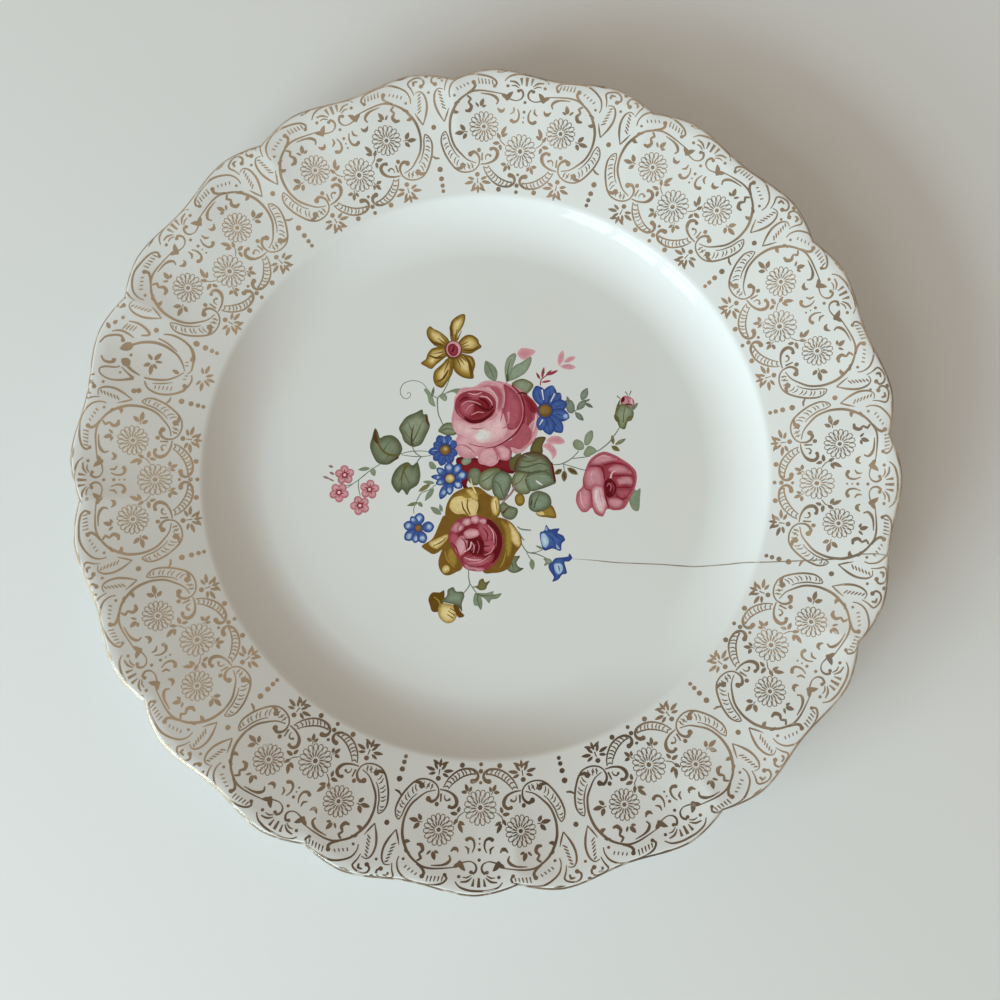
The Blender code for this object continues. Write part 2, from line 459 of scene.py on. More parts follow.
print("turning the plate")
glaze = glazeFinish()
turning = turnedTree()
bodyOutline = sectionObject("body_section", bodySection())
turnedValues = dict(rimRule, **{
    "Steps around": plateSizes["stepsAround"], "Material": glaze, "Section": bodyOutline,
})
plateBody = growPiece("plateBody", turning, turnedValues)
wholePlate = helperObject("whole_plate", plateBody.data.copy())     # uncut, for the print to lie on

borderSizes = {
    "ringRadius": 0.107,          # where a millimetre of the drawing is a millimetre of arc
    "sink": 0.00002,
    "lift": 0.00003,
    "rimGap": 0.0007,
    "rimSqueeze": 0.0012,
    "penStep": 0.55,
    "edgeBand": 98.0,             # within this radius the drawing is drawn in, off the well's edge
    "edgeShare": 0.83,
    "leafSlim": 0.62,
    "lowLeafSlim": 0.46,
    "lowLeafBelow": 94.5,
    "leafTip": 0.04,
    "dotTip": 0.03,
    "nib": (2.0, 0.2),
    "rayFrom": 0.05,
    "rayLength": 0.1,
    "cartouches": (177.2, 137.5, 108.5, 79.2, 50.0, 21.3, -7.2, -36.5, -65.8, -95.4, -124.6, -153.8),
    "filler": (157.3,),
}


def softCurve(a, b, c, d, step):
    # points from b to c, c left out, on the smooth curve that passes through all four
    pieces = max(1, round(math.dist(b, c) / step))
    run = []
    for j in range(pieces):
        t = j / pieces
        run.append(tuple(
            0.5 * (2 * b[k] + (c[k] - a[k]) * t + (2 * a[k] - 5 * b[k] + 4 * c[k] - d[k]) * t ** 2
                   + (3 * b[k] - a[k] - 3 * c[k] + d[k]) * t ** 3) for k in (0, 1)))
    return run


def flow(points, step):
    # a smooth run through a few points, as the pen goes
    run = []
    for i in range(len(points) - 1):
        run += softCurve(*(points[max(0, min(len(points) - 1, i + k))] for k in (-1, 0, 1, 2)), step)
    return run + [points[-1]]


def towards(start, end, share):
    # the point a share of the way from start to end
    return tuple(start[k] + (end[k] - start[k]) * share for k in (0, 1))


def soften(t):
    return t * t * (3 - 2 * t)


def offEdge(r):
    # what is drawn next to the well is held back from its rounded edge
    band = borderSizes["edgeBand"]
    return r if r > band else band - (band - r) * borderSizes["edgeShare"]


class Drawing:
    # strokes of a pen on flat paper, in millimetres; a stroke is its points and its half widths
    def __init__(self, step, onRing=True):
        self.step = step
        self.onRing = onRing
        self.strokes = []

    def line(self, points, widths):
        run = flow(points, self.step)
        reach = [0.0]
        for before, after in zip(run, run[1:]):
            reach.append(reach[-1] + math.dist(before, after))
        halves = []
        for length in reach:
            spot = length / max(reach[-1], 1e-6) * (len(widths) - 1)
            k = min(int(spot), len(widths) - 2)
            halves.append((widths[k] + (widths[k + 1] - widths[k]) * soften(spot - k)) / 2)
        self.strokes.append((run, halves))

    def dot(self, centre, radius):
        points = []
        halves = []
        for k in range(9):
            turn = math.pi * k / 8
            points.append((centre[0], centre[1] - radius * math.cos(turn)))
            halves.append(max(radius * math.sin(turn), borderSizes["dotTip"]))
        self.strokes.append((points, halves))

    def leaf(self, base, tip, width, bend=0.0):
        points = []
        halves = []
        across = (base[1] - tip[1], tip[0] - base[0])
        low = tip[1] < borderSizes["lowLeafBelow"] and self.onRing
        full = width * borderSizes["lowLeafSlim" if low else "leafSlim"]
        for k in range(7):
            t = k / 6
            sway = bend * math.sin(math.pi * t)
            points.append(tuple(base[i] + (tip[i] - base[i]) * t + across[i] * sway for i in (0, 1)))
            halves.append(max(full * math.sin(math.pi * t ** 0.85) ** 0.7, borderSizes["leafTip"]))
        self.strokes.append((points, halves))

    def ladder(self, outer, inner, count, span, width):
        # bowed rungs between two lines, each over a part of the gap from the outer one
        first, second = flow(outer, self.step), flow(inner, self.step)
        for k in range(count):
            share = (k + 0.5) / count
            a = first[round(share * (len(first) - 1))]
            b = second[round(share * (len(second) - 1))]
            ahead = first[min(round(share * (len(first) - 1)) + 1, len(first) - 1)]
            sway = [(ahead[i] - a[i]) * 0.6 for i in (0, 1)]
            middle = towards(a, b, (span[0] + span[1]) / 2)
            bow = (middle[0] + sway[0], middle[1] + sway[1])
            rung = [towards(a, b, span[0]), bow, towards(a, b, span[1])]
            self.line(rung, (width * 0.5, width, width * 0.5))

    def curl(self, points, widths, ball):
        # a line that ends in a ball
        self.line(points, widths)
        self.dot(points[-1], ball)

    def curveObject(self, name):
        curve = bpy.data.curves.new(name, "CURVE")
        curve.dimensions = "3D"
        for points, halves in self.strokes:
            spline = curve.splines.new("POLY")
            spline.points.add(len(points) - 1)
            for place, (x, y), half in zip(spline.points, points, halves):
                place.co = (x * millimetre, (offEdge(y) if self.onRing else y) * millimetre, 0.0, 1.0)
                place.radius = half * millimetre
        return helperObject(name, curve)


def drawDaisy(paper, centre, radius, petals, dot):
    paper.dot(centre, dot)

    def at(share, angle):
        return centre[0] + radius * share * math.cos(angle), centre[1] + radius * share * math.sin(angle)

    turn = 2 * math.pi / petals
    for k in range(petals):
        middle = turn * k + 0.2
        edge = turn * 0.42
        paper.line([at(0.3, middle - edge * 0.45), at(0.62, middle - edge * 0.8), at(0.88, middle - edge),
                    at(1, middle - edge * 0.45), at(1, middle + edge * 0.45), at(0.88, middle + edge),
                    at(0.62, middle + edge * 0.8)], (0.24, 0.22, 0.24, 0.22))
        paper.line([at(0.24, middle), at(0.6, middle)], (0.2, 0.12))


def drawCartouche(paper):
    for side in (-1, 1):
        def half(points):
            return [(u * -side, r) for u, r in points]

        def line(points, widths):
            paper.line(half(points), widths)

        def curl(points, widths, ball):
            paper.curl(half(points), widths, ball)

        def ladder(outer, inner, count, span, width):
            paper.ladder(half(outer), half(inner), count, span, width)

        def leaf(base, tip, width, bend=0):
            paper.leaf(*half([base, tip]), width, bend * -side)

        def dot(centre, radius):
            paper.dot(*half([centre]), radius)

        # the frame and the outer crescent with its hatching
        line([(-5.9, 118.9), (-10.1, 119.6), (-13, 119.9), (-15.5, 119.5), (-18.7, 117.5),
             (-20.7, 115), (-22.1, 112.1), (-22.6, 108.9), (-22.4, 106.4), (-21.6, 103.9),
             (-20, 101.8), (-17.6, 99.6), (-14.8, 98.6)], (0.3, 0.55, 0.8, 0.65, 0.3))
        curl([(-13.9, 98), (-13.6, 99.8), (-14.25, 101.2), (-15.5, 101.9), (-16.6, 101.3)],
             (0.45, 0.75, 1.15), 0.8)
        line([(-13.9, 98), (-15, 96.6), (-16.9, 95.7), (-19.1, 95.6), (-21.2, 96.4), (-23.4, 98.9),
             (-25, 101.8), (-25.7, 104.3), (-25.8, 106.1), (-25.1, 107.9), (-24.1, 108.6)],
             (0.45, 0.45, 0.6, 0.6, 0.35))
        line([(-24.1, 108.6), (-23.5, 107.1), (-23, 104.6), (-21.6, 101.8), (-20.4, 100.5)],
             (0.35, 0.45, 0.25))
        ladder([(-15, 96.6), (-16.9, 95.7), (-19.1, 95.6), (-21.2, 96.4), (-23.4, 98.9), (-25, 101.8),
               (-25.7, 104.3), (-25.8, 106.1), (-25.1, 107.9)], [(-15.4, 98.6), (-17.6, 99.2),
               (-20, 100.9), (-21.9, 103.2), (-22.9, 105.6), (-23.8, 108)], 12, (0.22, 0.72), 0.42)
        for u in (-17.6, -16.2):
            line([(u - 0.3, 98.6), (u + 0.1, 97.8), (u - 0.1, 97)], (0.25, 0.45, 0.2))
        line([(-22.6, 97.4), (-21.2, 97.1), (-19.8, 97.3)], (0.3, 0.85, 1.1))
        dot((-19.5, 97.9), 0.95)

        # the inner curl, its hook and the short bar
        curl([(-13.3, 98.2), (-10.9, 98.4), (-8.7, 99.3), (-7.6, 100.7), (-7.6, 102.1), (-8.7, 102.9),
             (-9.7, 102.7)], (0.35, 0.6, 1.15, 0.85), 0.55)
        curl([(-11.5, 99.5), (-11.5, 100.5), (-10.7, 101.1), (-9.9, 100.7)], (0.25, 0.45, 0.5), 0.4)
        line([(-12.6, 101.6), (-12.8, 99.3)], (0.45, 0.6))
        dot((-13.7, 102.4), 0.65)

        # the acanthus scroll along the bottom
        curl([(-12.3, 97.5), (-11.75, 95.7), (-10.5, 93.6), (-8.5, 91.6), (-6.2, 90.5), (-4.1, 90.3),
             (-2.3, 90.7), (-1.1, 91.9), (-1, 93.3), (-1.8, 94.3), (-2.8, 94.5)],
             (0.35, 0.5, 0.55, 0.75, 1.25), 0.85)
        line([(-10.6, 97.7), (-9.8, 96.4), (-8, 94.5), (-5.9, 93), (-3.4, 92.1), (-1.75, 92)],
             (0.3, 0.45, 0.45))
        ladder([(-12.3, 97.5), (-11.75, 95.7), (-10.5, 93.6), (-8.5, 91.6), (-6.2, 90.5), (-4.1, 90.3),
               (-2.3, 90.7)], [(-10.6, 97.7), (-9.8, 96.4), (-8, 94.5), (-5.9, 93), (-3.4, 92.1),
               (-1.75, 92)], 9, (0.15, 0.95), 0.45)

        # the palmette below
        dot((-14.5, 94.6), 0.85)
        line([(-14.5, 93.4), (-14.5, 91.4)], (0.3, 0.45))
        for way in (-1, 1):
            for base, tip, width in (((1.2, 92.8), (3.5, 93.7), 1), ((1.5, 92), (4.9, 91.4), 1.15),
                                     ((0.7, 91.6), (2.3, 89.2), 1), ((0.4, 89.8), (2.9, 88.6), 1)):
                leaf((-14.5 + base[0] * way, base[1]), (-14.5 + tip[0] * way, tip[1]), width)
        leaf((-14.5, 90.8), (-14.5, 87.7), 1.2)
        dot((-6.7, 89.2), 0.9)

        # sprigs of three leaves and the vine between the daisies
        line([(-17.1, 107.9), (-18.6, 107.9)], (0.25, 0.3))
        leaf((-17.9, 108.2), (-19.3, 110.1), 1.05)
        leaf((-18.3, 107.7), (-21.2, 107.6), 1.05)
        leaf((-17.5, 107.4), (-18.7, 105.8), 0.95)
        leaf((-12.9, 115.3), (-12, 117.6), 1)
        leaf((-13.4, 115.1), (-14.4, 116.4), 0.55)
        leaf((-12.5, 115.1), (-11.2, 115.6), 0.65)
        line([(-5.1, 103.9), (-6.7, 105.3), (-6.8, 106.9)], (0.25, 0.3, 0.2))
        leaf((-6.5, 107), (-5, 109.6), 0.95)
        leaf((-6.4, 106.5), (-4.5, 107.4), 0.8)
        leaf((-7, 105.8), (-7.8, 107.6), 0.75)
        leaf((-6.9, 104.5), (-9.2, 104.4), 0.9)
        leaf((-6.9, 104.1), (-6.4, 102.3), 0.85)
        line([(-4.1, 97.9), (-3.6, 98.9)], (0.25, 0.25))
        leaf((-4.4, 98.2), (-6.3, 98.3), 0.85)
        leaf((-4.1, 97.9), (-5.2, 95.6), 0.95)
        leaf((-3.6, 98.1), (-3, 96.3), 0.8)

        # hooks inside the frame and the branch above it
        line([(-16.7, 118.4), (-15.7, 117.5), (-16.4, 116.5), (-15.6, 115.3), (-16.3, 114),
             (-17.5, 114.1)], (0.45, 0.75, 0.6, 0.95, 1.15, 0.6))
        leaf((-20.6, 115.8), (-18.9, 116.6), 0.7, 0.15)
        leaf((-21.2, 114.6), (-19.4, 113.7), 0.9, -0.2)
        curl([(-16.6, 119.2), (-15, 120.2), (-14.3, 121.3), (-14.7, 122.3)], (0.4, 0.7, 0.9), 0.6)
        line([(-12.8, 119.1), (-10.1, 118.75), (-8.5, 118), (-7.8, 116.9), (-8.3, 115.9)],
             (0.25, 0.5, 0.85, 0.4))
        line([(-7.9, 114.9), (-7.2, 114), (-6.2, 114.1), (-5.9, 114.9)], (0.3, 1.15, 0.35))

        # the top of the middle: fleur, curl, commas and rim palmette
        leaf((-4.9, 117.9), (-6.9, 118.9), 1)
        leaf((-5.3, 117), (-3.6, 119.8), 1.1, 0.1)
        dot((-5.2, 117.9), 0.75)
        curl([(-4.5, 117.6), (-2.6, 117.2), (-1.1, 117.9), (-0.7, 119.3), (-1.4, 120.4), (-2.1, 120.1)],
             (0.4, 0.3, 0.55, 0.8), 0.5)
        curl([(-2, 114.8), (-1.4, 113.2), (-1.7, 111.5), (-2.8, 110.9), (-3.6, 111.3)], (0.3, 0.6, 1.00),
             0.55)
        line([(-3.1, 115.2), (-3.1, 113.9), (-4.1, 113.2)], (0.3, 0.7, 0.3))
        line([(-1.3, 121.9), (-1.6, 123.9)], (0.3, 0.75))
        line([(-1.8, 121.5), (-3.1, 122.6), (-4.7, 122.8)], (0.25, 0.6, 0.4))
        line([(-2, 120.9), (-3.2, 121.6), (-4.2, 121.5)], (0.2, 0.45, 0.25))
        dot((-5.2, 121.4), 0.45)
        line([(-6.1, 122.8), (-4.8, 124.2), (-2.3, 125), (0.1, 125.1)], (0.3, 0.6, 0.6))

        # the crescent band at the rim
        curl([(-21.6, 118.2), (-21.75, 119.8), (-20.9, 122), (-18.7, 123.75), (-16.2, 124.7),
             (-13.7, 124.6), (-10.9, 124.1), (-9.1, 123.3), (-8.3, 122.1), (-8.9, 121.2)],
             (0.3, 0.5, 0.6, 0.55, 0.55), 0.5)
        dot((-20.3, 118.6), 0.4)
        for k in range(4):
            u = -19.6 + k
            line([(u, 120.9 + k * 0.45), (u + 0.5, 120.1 + k * 0.5)], (0.3, 0.35))
        for k in range(5):
            u = -13.4 + k * 0.95
            line([(u, 123.5 - k * 0.12), (u + 0.25, 121.9 - k * 0.05)], (0.25, 0.4))

        # the leaf fan between two cartouches and the corner curl above it
        line([(-24.1, 111.4), (-25.5, 114.3), (-26.2, 117.1), (-25.9, 119.8), (-24.8, 121.2),
             (-23.4, 120.9)], (0.3, 0.65, 0.55, 0.25))
        line([(-24.1, 111.4), (-23.2, 113.1), (-22.3, 115.2)], (0.4, 0.5, 0.2))
        for k in range(6):
            r = 120.3 - k * 0.95
            u = -24.9 + k * 0.12
            line([(u, r + 0.3), (u + 0.9 + k * 0.06, r - 0.35 - k * 0.05)], (0.3, 0.45, 0.25))
        curl([(-23, 120.4), (-22.6, 122.1), (-21.9, 123.9), (-22.8, 124.8), (-24.6, 125.3),
             (-26, 124.6), (-26.3, 123.3), (-25.4, 122.6)], (0.25, 0.5, 0.5, 0.6), 0.6)
        line([(-24.6, 124.1), (-23.5, 124.1), (-23.4, 123)], (0.35, 0.8, 0.45))

        # patches where the lip's gold is thick
        line([(-21.8, 125.9), (-18.9, 125.8)], (0.3, 0.9, 0.3))

    # what stands on the cartouche's own axis
    drawDaisy(paper, (-12, 109.3), 4.4, 16, 0.6)
    drawDaisy(paper, (12, 109.3), 4.4, 16, 0.6)
    drawDaisy(paper, (0, 102.4), 5, 16, 0.7)
    paper.dot((0, 94.9), 0.55)
    paper.dot((0, 91), 0.8)
    paper.dot((0, 88.6), 0.7)
    paper.line([(0, 121.6), (0, 124.1)], (0.55, 0.85))
    for r, radius in ((116.8, 0.45), (114, 0.45), (112.4, 0.25), (111, 0.3)):
        paper.dot((0, r), radius)
    paper.line([(-8.3, 125.3), (-5.5, 125.9)], (0.3, 0.9, 0.3))
    paper.line([(5.8, 125.9), (8.6, 125.8)], (0.3, 0.8, 0.3))
    paper.line([(25.2, 101.9), (26.3, 101.1), (27.6, 100.9)], (0.4, 0.7, 0.4))
    drawDotColumn(paper, 27.2)


def drawDotColumn(paper, u):
    for r, radius in ((97.5, 0.95), (94.1, 0.9), (91.6, 0.8), (89.6, 0.7), (110.2, 0.75), (120.5, 0.4),
                      (125.3, 0.55)):
        paper.dot((u, r), radius)


def drawFiller(paper):
    # the narrow motif that closes the ring where the cartouches don't meet
    paper.line([(-2.1, 115), (-3.6, 115.4), (-4.7, 113.6), (-5.4, 111.2)], (0.5, 0.9, 0.7, 0.4))
    paper.line([(-5.7, 109.8), (-5.5, 107.3), (-4.4, 103.6), (-2.4, 101), (-0.3, 99.4)],
               (0.45, 0.7, 0.55, 0.3))
    paper.line([(0.2, 118.6), (2.5, 115.9), (4.3, 113.3), (5.5, 109.9), (5.5, 106.3), (4.4, 103),
                (2.5, 100.8),
                (0.2, 99.3)], (0.6, 0.7, 0.85, 0.85, 0.6, 0.3))
    paper.leaf((-3.3, 114.7), (-2.4, 117.6), 2)
    paper.leaf((2.6, 115.7), (0.1, 119), 2)
    paper.dot((-0.5, 115.4), 0.45)
    for base, tip, width in (((-1.2, 108.9), (-4.5, 108.4), 1), ((-1, 109.4), (-2.4, 111), 1),
                             ((0.2, 109.2), (1.5, 110.9), 0.8), ((0.4, 108.6), (3.1, 107.4), 1.1),
                             ((-0.9, 108.6), (-2, 107.1), 0.8), ((0, 108.3), (0.5, 106.2), 0.7),
                             ((-1.2, 100.6), (-0.7, 102.8), 1)):
        paper.leaf(base, tip, width)
    paper.curl([(-6.7, 109.4), (-8.6, 107.9), (-9.4, 104.9), (-8.8, 101.6), (-7.2, 98.9), (-5.7, 97.6),
                (-4.6, 97.9)], (0.4, 0.6, 0.7, 0.9), 0.75)
    paper.line([(-5.7, 97.6), (-3.9, 96.6), (-1.9, 96.2), (-0.3, 96.9)], (0.7, 0.5, 0.4))
    paper.line([(-6.7, 107), (-5.9, 104.3), (-4.7, 101.6)], (0.25, 0.45, 0.2))
    for k in range(5):
        paper.line([(-8.3 + k * 0.2, 106.0 - k * 1.1), (-7.0 + k * 0.25, 106.0 - k * 1.15)],
                   (0.2, 0.4, 0.2))
    paper.line([(8.8, 108.9), (9.7, 106.3), (9.5, 102.9), (8.2, 100), (5.6, 98.2), (3.7, 97.8), (1.2, 97.5),
                (-0.4, 98.4)], (0.4, 0.65, 0.7, 1, 0.6, 0.3))
    paper.line([(7, 109.8), (6.7, 106.9), (5.5, 103.4)], (0.45, 0.5, 0.25))
    paper.line([(4, 98.7), (6.3, 98.4)], (0.4, 1.2, 0.5))
    for place in ((-2.4, 98.6), (-1.1, 98.4), (2.2, 99.3), (3.3, 99.6)):
        paper.line([(place[0] - 0.2, place[1] + 0.5), (place[0] + 0.2, place[1] - 0.5)], (0.2, 0.45, 0.2))
    for way in (-1, 1):
        for base, tip, width in (((1.2, 93.2), (3.3, 94.3), 0.9), ((1.6, 92.4), (5, 92.1), 1.2),
                                 ((0.6, 92), (2.3, 89.6), 1.1)):
            paper.leaf((0.2 + base[0] * way, base[1]), (0.2 + tip[0] * way, tip[1]), width)
    paper.leaf((0.1, 91.4), (0.1, 88.2), 1.3)
    paper.line([(-6.8, 112.6), (-8.3, 116), (-8.8, 119.2), (-8, 121.9), (-6.6, 122.5), (-5.7, 121),
                (-5.2, 118.5), (-4.5, 117.3)], (0.9, 0.6, 0.4, 0.4, 0.5, 0.4))
    paper.line([(-6.8, 112.6), (-5.6, 115), (-4.6, 116.8)], (0.8, 0.5, 0.3))
    paper.line([(-3.2, 123.3), (-4.3, 122), (-4.2, 120.2), (-3.6, 119.4), (-2.9, 119.6)],
               (0.4, 0.6, 0.8, 1.2))
    paper.curl([(0, 124.9), (2, 123.9), (3.4, 121.4), (3.6, 119.7), (2.7, 119)], (0.4, 0.6, 0.7), 0.6)
    paper.line([(4, 122.8), (5, 120.6), (4.9, 118.3), (4.4, 116.4)], (0.3, 0.6, 0.6, 0.3))
    paper.line([(8.2, 119.5), (8.7, 116.9), (8.2, 114.3), (7, 112.6), (5.8, 114.7)], (0.3, 0.7, 0.8, 0.4))
    for k in range(4):
        paper.line([(5.6 + k * 0.15, 120.3 - k * 0.95), (7.5 + k * 0.1, 119.5 - k * 0.9)],
                   (0.25, 0.5, 0.25))
    paper.leaf((4.4, 123.6), (5.6, 125.2), 0.9)
    paper.leaf((6, 123.4), (7.1, 122.4), 0.9)
    paper.dot((8.5, 121.4), 0.5)
    paper.dot((-6.2, 116.7), 0.35)
    paper.dot((-10.4, 111.5), 0.75)
    paper.dot((9, 111.3), 0.75)
    for r, radius in ((99.2, 0.95), (96, 0.95), (93.5, 0.8), (91.5, 0.7)):
        paper.dot((10.4, r), radius)
    paper.line([(-10.7, 125), (-10.4, 123.6)], (0.4, 0.5))
    paper.line([(-9, 125), (-8.6, 123.4)], (0.4, 0.5))


def layingTree():
    # draws the strokes as flat bodies, sets them round the brim and lets them down on to the plate
    labels = {"Drawing": "Object", "Places": "Object", "Plate": "Object"}
    labels.update({label: "Float" for label in rimRule})
    for label in ("Bent", "Ring radius", "Rim gap", "Rim squeeze", "Sink", "Lift"):
        labels[label] = "Float"
    labels["Material"] = "Material"
    graph, wires = newShapeTree("strokes_on_the_brim", labels)

    def geometryOf(label):
        return graph.add("GeometryNodeObjectInfo", inputs={"Object": wires[label]}, output="Geometry")

    level = graph.add("GeometryNodeSetCurveNormal", {"mode": "Z_UP"}, {"Curve": geometryOf("Drawing")})
    nibWidth, nibHeight = borderSizes["nib"]
    nib = graph.add("GeometryNodeCurvePrimitiveQuadrilateral",
                    inputs={"Width": nibWidth, "Height": nibHeight})
    strokes = graph.add("GeometryNodeCurveToMesh", inputs={
        "Curve": level, "Profile Curve": nib, "Scale": graph.add("GeometryNodeInputRadius"),
        "Fill Caps": True,
    })
    copies = graph.add("GeometryNodeInstanceOnPoints",
                       inputs={"Points": geometryOf("Places"), "Instance": strokes})
    flat = graph.add("GeometryNodeRealizeInstances", inputs={"Geometry": copies})
    along, radius, height = graph.split(graph.add("GeometryNodeInputPosition"))
    angle = -along / wires["Ring radius"]
    squeeze = wires["Rim squeeze"]
    limit = wires["Lobe radius"] - rimCutBack(graph, angle, wires) - wires["Rim gap"] - squeeze
    over = graph.math("MAXIMUM", radius - limit, 0.0)
    held = radius - over + squeeze * graph.math("TANH", over / squeeze)
    bent = wires["Bent"]
    x = bent * held * graph.math("COSINE", angle) + (1 - bent) * along
    y = bent * held * graph.math("SINE", angle) + (1 - bent) * radius
    hit = graph.add("GeometryNodeRaycast", inputs={
        "Target Geometry": geometryOf("Plate"), "Source Position": graph.join(x, y, borderSizes["rayFrom"]),
        "Ray Direction": (0.0, 0.0, -1.0), "Ray Length": borderSizes["rayLength"],
    }, output="Hit Position")
    top = height > 0.0
    ground = graph.split(hit)[2]
    rest = ground + top * wires["Lift"] - (1 - top) * wires["Sink"]
    laid = graph.add("GeometryNodeSetPosition",
                     inputs={"Geometry": flat, "Position": graph.join(x, y, rest)})
    return endShapeTree(graph, laid, wires["Material"], False)


def placesObject(name, angles):
    mesh = bpy.data.meshes.new(name)
    spots = [(-math.radians(angle) * borderSizes["ringRadius"], 0.0, 0.0) for angle in angles]
    mesh.from_pydata(spots, [], [])
    return helperObject(name, mesh)


print("drawing the gold border")
# the border's gold: wear plus a painted highlight on the side facing −X and painted shade on the side
# facing −Y
gilt = giltFinish("worn_gilding_with_painted_light", 0.0)
laying = layingTree()
borderValues = dict(rimRule, **{
    "Bent": 1.0, "Ring radius": borderSizes["ringRadius"], "Rim gap": borderSizes["rimGap"],
    "Rim squeeze": borderSizes["rimSqueeze"], "Sink": borderSizes["sink"], "Lift": borderSizes["lift"],
    "Plate": wholePlate, "Material": gilt,
})
motif = Drawing(borderSizes["penStep"])
drawCartouche(motif)
motifCurve = motif.curveObject("cartouche_strokes")
borderPieces = []
half = len(borderSizes["cartouches"]) // 2
for name, angles in (
    ("goldBorderUpper", borderSizes["cartouches"][:half]),
    ("goldBorderLower", borderSizes["cartouches"][half:]),
):
    places = placesObject(name + "_places", angles)
    borderPieces.append(growPiece(name, laying, dict(borderValues, Drawing=motifCurve, Places=places)))
fillerMotif = Drawing(borderSizes["penStep"])
drawFiller(fillerMotif)
goldFiller = growPiece("goldBorderFiller", laying, dict(
    borderValues, Drawing=fillerMotif.curveObject("filler_strokes"),
    Places=placesObject("filler_place", borderSizes["filler"])))


sprayLook = {
    "step": 0.45,
    "grain": 0.85,
    "sink": 0.02,
    "layer": 0.003,
    "seedGap": 0.45,        # how near the edge a seed may lie, as a share of the grain
    "leastReach": 0.1,
    "leastWidth": 0.06,
    "pigment": 1.26,        # how much lighter the enamel is than it looks in the plate's light
    "paleClouds": (420.0, 3.0, 0.3, 0.7),
    "cloudShade": (0.45, 0.40, 0.38, 1.0),
    "brushClouds": (1100.0, 3.0, 0.35, 0.7),
    "brushShade": (0.62, 0.58, 0.56, 1.0),
    "shadeShare": 0.25,
    "rough": 0.14,
    "roughCloud": 0.08,
    "bend": 1.32,
}

palette = {
    "honey": (98, 70, 16), "ochre": (156, 126, 52), "sand": (204, 178, 112), "cream": (222, 200, 140),
    "umber": (116, 84, 26), "shell": (222, 184, 186), "blush": (212, 162, 168), "pink": (198, 136, 146),
    "rose": (170, 86, 98), "ruby": (146, 56, 70), "crimson": (122, 24, 36), "wine": (90, 2, 14),
    "white": (220, 214, 210), "green": (120, 130, 104), "sage": (136, 146, 120), "fern": (82, 86, 60),
    "moss": (96, 92, 48), "mint": (124, 138, 116), "dew": (142, 156, 136), "brown": (82, 54, 32),
    "olive": (118, 112, 72), "stem": (112, 122, 104), "grey": (98, 106, 98), "blue": (66, 96, 156),
    "navy": (40, 60, 124), "sky": (140, 168, 202), "ice": (182, 202, 218), "gilt": (138, 104, 58),
    "dusk": (150, 112, 118),
}


def pigment(name):
    # a colour of the palette as the shader takes it, by the usual display curve
    def linear(value):
        share = value / 255
        return share / 12.92 if share < 0.04045 else ((share + 0.055) / 1.055) ** 2.4
    return tuple(min(1.0, linear(v) * sprayLook["pigment"]) for v in palette[name]) + (1.0,)


def closedFlow(points, step):
    # a smooth closed outline through a few points, turning to the left
    ring = list(points)
    area = sum(a[0] * b[1] - b[0] * a[1] for a, b in zip(ring, ring[1:] + ring[:1]))
    if area < 0:
        ring.reverse()
    count = len(ring)
    outline = []
    for i in range(count):
        outline += softCurve(*(ring[(i + k) % count] for k in (-1, 0, 1, 2)), step)
    return outline


def stripSides(points, halves):
    # the two edges of a line of varying width
    left = []
    right = []
    for i, (x, y) in enumerate(points):
        before = points[max(i - 1, 0)]
        after = points[min(i + 1, len(points) - 1)]
        length = max(math.dist(before, after), 1e-9)
        across = ((before[1] - after[1]) / length, (after[0] - before[0]) / length)
        left.append((x + across[0] * halves[i], y + across[1] * halves[i]))
        right.append((x - across[0] * halves[i], y - across[1] * halves[i]))
    return left, right


def stripBody(points, halves, low, high):
    # a closed flat bar along a line: its corners and its faces, facing outwards
    left, right = stripSides(points, halves)
    n = len(points)
    sides = ((left, high), (right, high), (left, low), (right, low))
    corners = [(x, y, z) for side, z in sides for x, y in side]
    faces = [(n, 0, 2 * n, 3 * n), (n - 1, 2 * n - 1, 4 * n - 1, 3 * n - 1)]
    for i in range(n - 1):
        j = i + 1
        faces += [(n + i, n + j, j, i), (2 * n + i, 2 * n + j, 3 * n + j, 3 * n + i),
                  (i, j, 2 * n + j, 2 * n + i), (n + j, n + i, 3 * n + i, 3 * n + j)]
    return corners, faces


